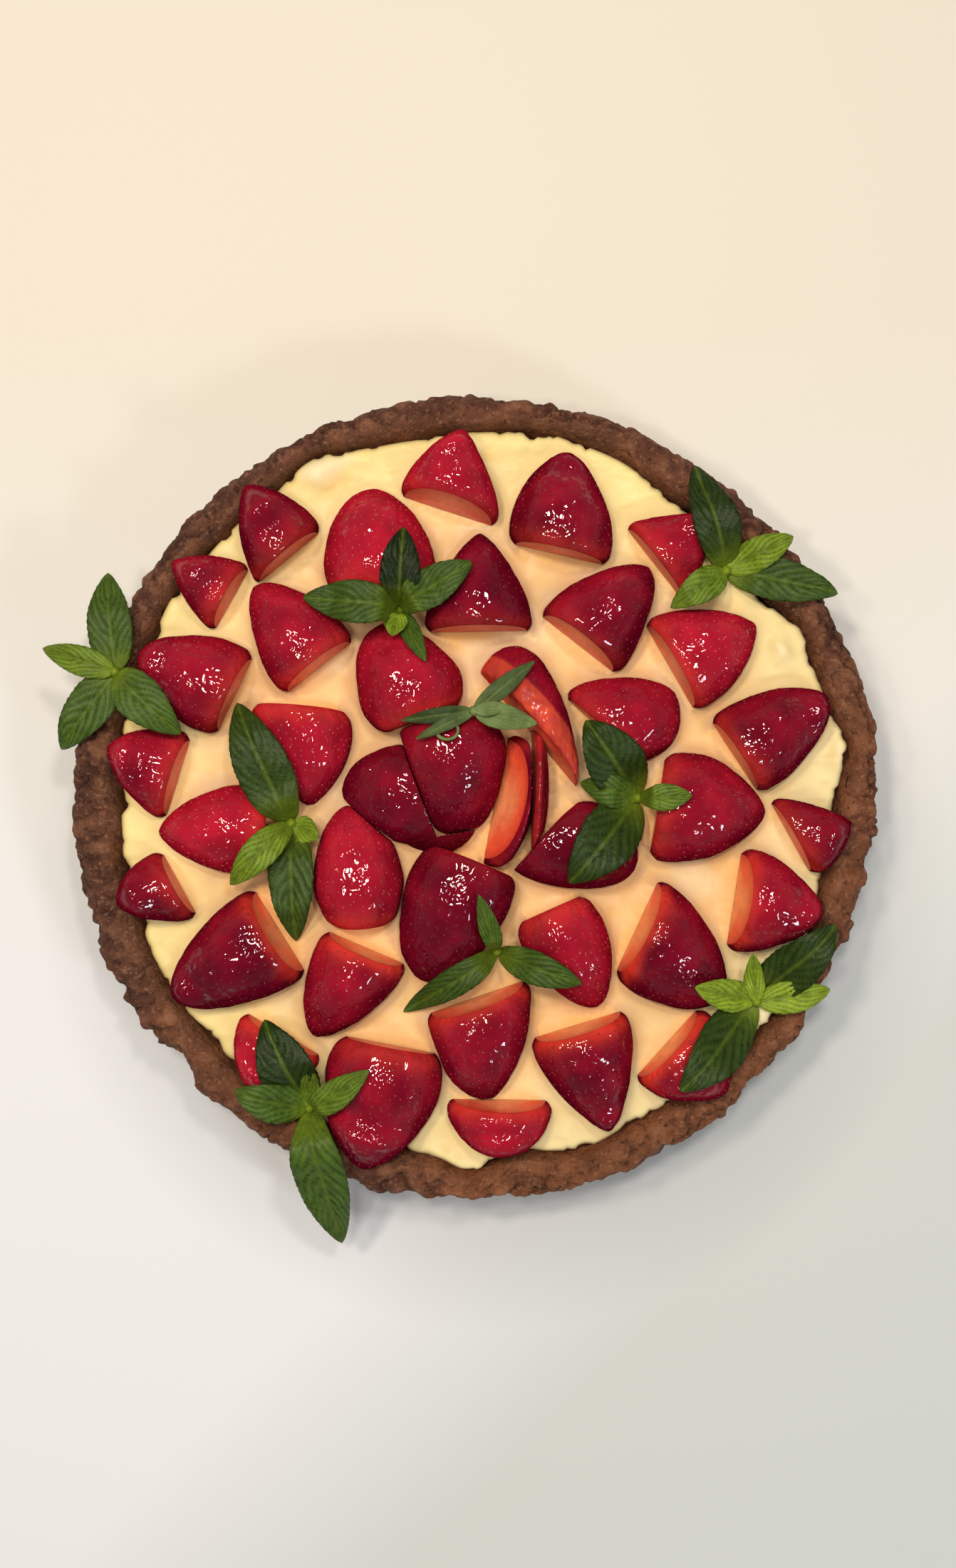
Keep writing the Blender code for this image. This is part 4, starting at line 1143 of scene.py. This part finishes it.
def curl_parts(tree, colour):
    """Points, faces and colours of the calyx's one sepal that is rolled into a loop."""
    points = []
    for index in range(CURL_SEGMENTS):
        share = index / (CURL_SEGMENTS - 1)
        turn = math.radians(100.0 + 330.0 * share)
        outward = Vector((math.cos(turn), 0.85 * math.sin(turn), 0.0))
        place = Vector(CURL_MIDDLE) + outward * CURL_RADIUS
        place.z = support_height(tree, place.x, place.y, 0.0004) + CURL_LIFT
        place.z += 0.0006 * math.sin(turn)
        slim = CURL_THICKNESS * (1.0 - 0.6 * abs(share - 0.4))
        for step in range(CURL_AROUND):
            bend = math.tau * step / CURL_AROUND
            points.append(place + outward * (slim * math.cos(bend))
                          + Vector((0.0, 0.0, 1.7 * slim * math.sin(bend))))
    faces = flipped(grid_faces(CURL_SEGMENTS, CURL_AROUND, wrap=True))
    order = tuple(range(len(points)))
    faces += [order[:CURL_AROUND], order[-CURL_AROUND:][::-1]]
    return np.array(points), faces, np.tile(colour, (len(points), 1))


def sprig_piece(tree, sprig, material):
    """A sprig: its leaves and the short stem that joins them."""
    name, x, y, leaves = sprig
    lift = CONTACT_GAP + STEM_HALF_HEIGHT
    centre = Vector((x * MM, y * MM, 0.0))
    centre.z = support_height(tree, centre.x, centre.y, STEM_RADIUS) + lift
    is_calyx = name == "calyx"
    palette = (SEPAL_DARK, 0.5 * (SEPAL_DARK + SEPAL_BRIGHT), SEPAL_BRIGHT) if is_calyx else (
        LEAF_DARK, LEAF_MIDDLE, LEAF_BRIGHT)
    quilt = 0.25 if is_calyx else 1.0
    parts = [stem_parts(centre, palette[2] * 0.8)]
    if is_calyx:
        parts.append(curl_parts(tree, palette[2] * 0.8))
    for index, leaf in enumerate(leaves):
        parts.append(leaf_parts(tree, centre, leaf, index, palette, quilt))
    faces, offset = [], 0
    for part_points, part_faces, _ in parts:
        faces += [tuple(offset + i for i in face) for face in part_faces]
        offset += len(part_points)
    points, colours = (np.vstack([part[i] for part in parts]) for i in (0, 2))
    add_piece(name, points, faces, colours, [material])


# --- Surroundings ---

# Half the floor's width, and the middle of the soft shadow painted on it beside the tart in the
# view.
FLOOR_HALF = 3.0
PAINTED_SHADOW_PLACE = (0.005, -0.025, 0.0)


def add_floor():
    """A pale floor with painted light and shade, and a little darker beside the tart: a painted
    shadow.
    """
    mesh = bpy.data.meshes.new("floor")
    corners = [(FLOOR_HALF * x, FLOOR_HALF * y, 0) for x, y in ((-1, -1), (1, -1), (1, 1), (-1, 1))]
    mesh.from_pydata(corners, [], [(0, 1, 2, 3)])
    material, tree, shader, _ = new_material("pale_floor", Roughness=0.7)
    place = add_node(tree, "TexCoord")
    split = add_node(tree, "SeparateXYZ", {"Vector": place.outputs["Object"]})
    slant = add_node(tree, "Math", {0: split.outputs["X"], 1: split.outputs["Y"]},
                     operation="SUBTRACT").outputs[0]
    # Painted light and shade: warm towards the upper left, grey towards the lower right.
    near = band(tree, split.outputs["Y"], 0.16, -0.06)
    left = blend_colours(tree, near, FLOOR_WARM_LIT, FLOOR_PLAIN)
    colour = blend_colours(tree, band(tree, slant, 0.12, 0.24), left, FLOOR_GREY_SHADE)
    away = add_node(tree, "VectorMath", {0: place.outputs["Object"], 1: PAINTED_SHADOW_PLACE},
                    operation="DISTANCE").outputs["Value"]
    # Painted shadow: darker within a short reach of the tart.
    link(tree, shader, Base_Color=mottled(tree, colour, away, 0.115, 0.158, 0.75, 1.0))
    mesh.materials.append(material)
    add_object("floor", mesh)


def add_light(name, place, power, size, colour):
    """A round area light that points at the tart."""
    data = bpy.data.lights.new(name, "AREA")
    data.shape = "DISK"
    data.size = size
    data.energy = power
    data.color = colour
    light = add_object(name, data)
    light.location = place
    light.rotation_euler = (-Vector(place)).to_track_quat("-Z", "Y").to_euler()


def add_room():
    """A dim room: pale walls round the table and a dark ceiling over it."""
    world = bpy.data.worlds.new("room")
    world.use_nodes = True
    tree = world.node_tree
    place = add_node(tree, "TexCoord")
    height = add_node(tree, "SeparateXYZ", {"Vector": place.outputs["Generated"]})
    share = band(tree, height.outputs["Z"], 0.25, 0.85)
    colour = blend_colours(tree, share, ROOM_WALL, ROOM_CEILING)
    tree.links.new(colour, tree.nodes["Background"].inputs["Color"])
    bpy.context.scene.world = world


WARM_LIGHT = (1.0, 0.87, 0.7)
PLAIN_LIGHT = (1.0, 0.94, 0.86)
COOL_LIGHT = (0.84, 0.92, 1.0)

# Small ceiling lamps, warm on the left, and a cool window low on the right: name, place, power in
# watts, diameter and colour.
LIGHTS = (
    ("lamp_1", (-0.52, 0.5, 1.45), 7.0, 0.2, WARM_LIGHT),
    ("lamp_2", (-0.12, 0.34, 1.45), 5.4, 0.18, PLAIN_LIGHT),
    ("lamp_3", (0.3, 0.62, 1.45), 4.9, 0.17, PLAIN_LIGHT),
    ("lamp_4", (-0.44, -0.2, 1.45), 3.2, 0.15, PLAIN_LIGHT),
    ("lamp_5", (-0.8, 0.15, 1.45), 2.4, 0.14, WARM_LIGHT),
    ("lamp_6", (0.16, -0.08, 1.45), 2.2, 0.13, PLAIN_LIGHT),
    ("window", (0.85, -0.8, 0.95), 4.4, 0.26, COOL_LIGHT),
)


# Where the camera stands: its height from the tart's size in the photo, its place from the middle.
CAMERA_PLACE = (0.0003, 0.0041, 0.582)
CAMERA_LENS = 39.1


def add_camera():
    """A camera that looks straight down."""
    data = bpy.data.cameras.new("camera")
    data.lens = CAMERA_LENS
    data.clip_start = 0.01
    camera = add_object("camera", data)
    camera.location = CAMERA_PLACE
    bpy.context.scene.camera = camera


def main():
    """Dress the tart and set it in soft light."""
    planes = parting_planes()
    materials = [skin_material(), flesh_material(), seed_material()]
    crust_piece()
    outline = []
    for berry in BERRIES:
        outline += berry_piece(berry, planes[berry[0]], materials)
    cream_piece(outline)
    tree = solid_tree(["crust", "cream"] + BERRY_NAMES)
    mint = leaf_material("mint_leaf", 0.38)
    sepal = leaf_material("sepal_leaf", 0.5)
    for sprig in SPRIGS:
        sprig_piece(tree, sprig, sepal if sprig[0] == "calyx" else mint)
    add_floor()
    for light in LIGHTS:
        add_light(*light)
    add_room()
    add_camera()
    bpy.context.scene.view_settings.view_transform = "Standard"


main()
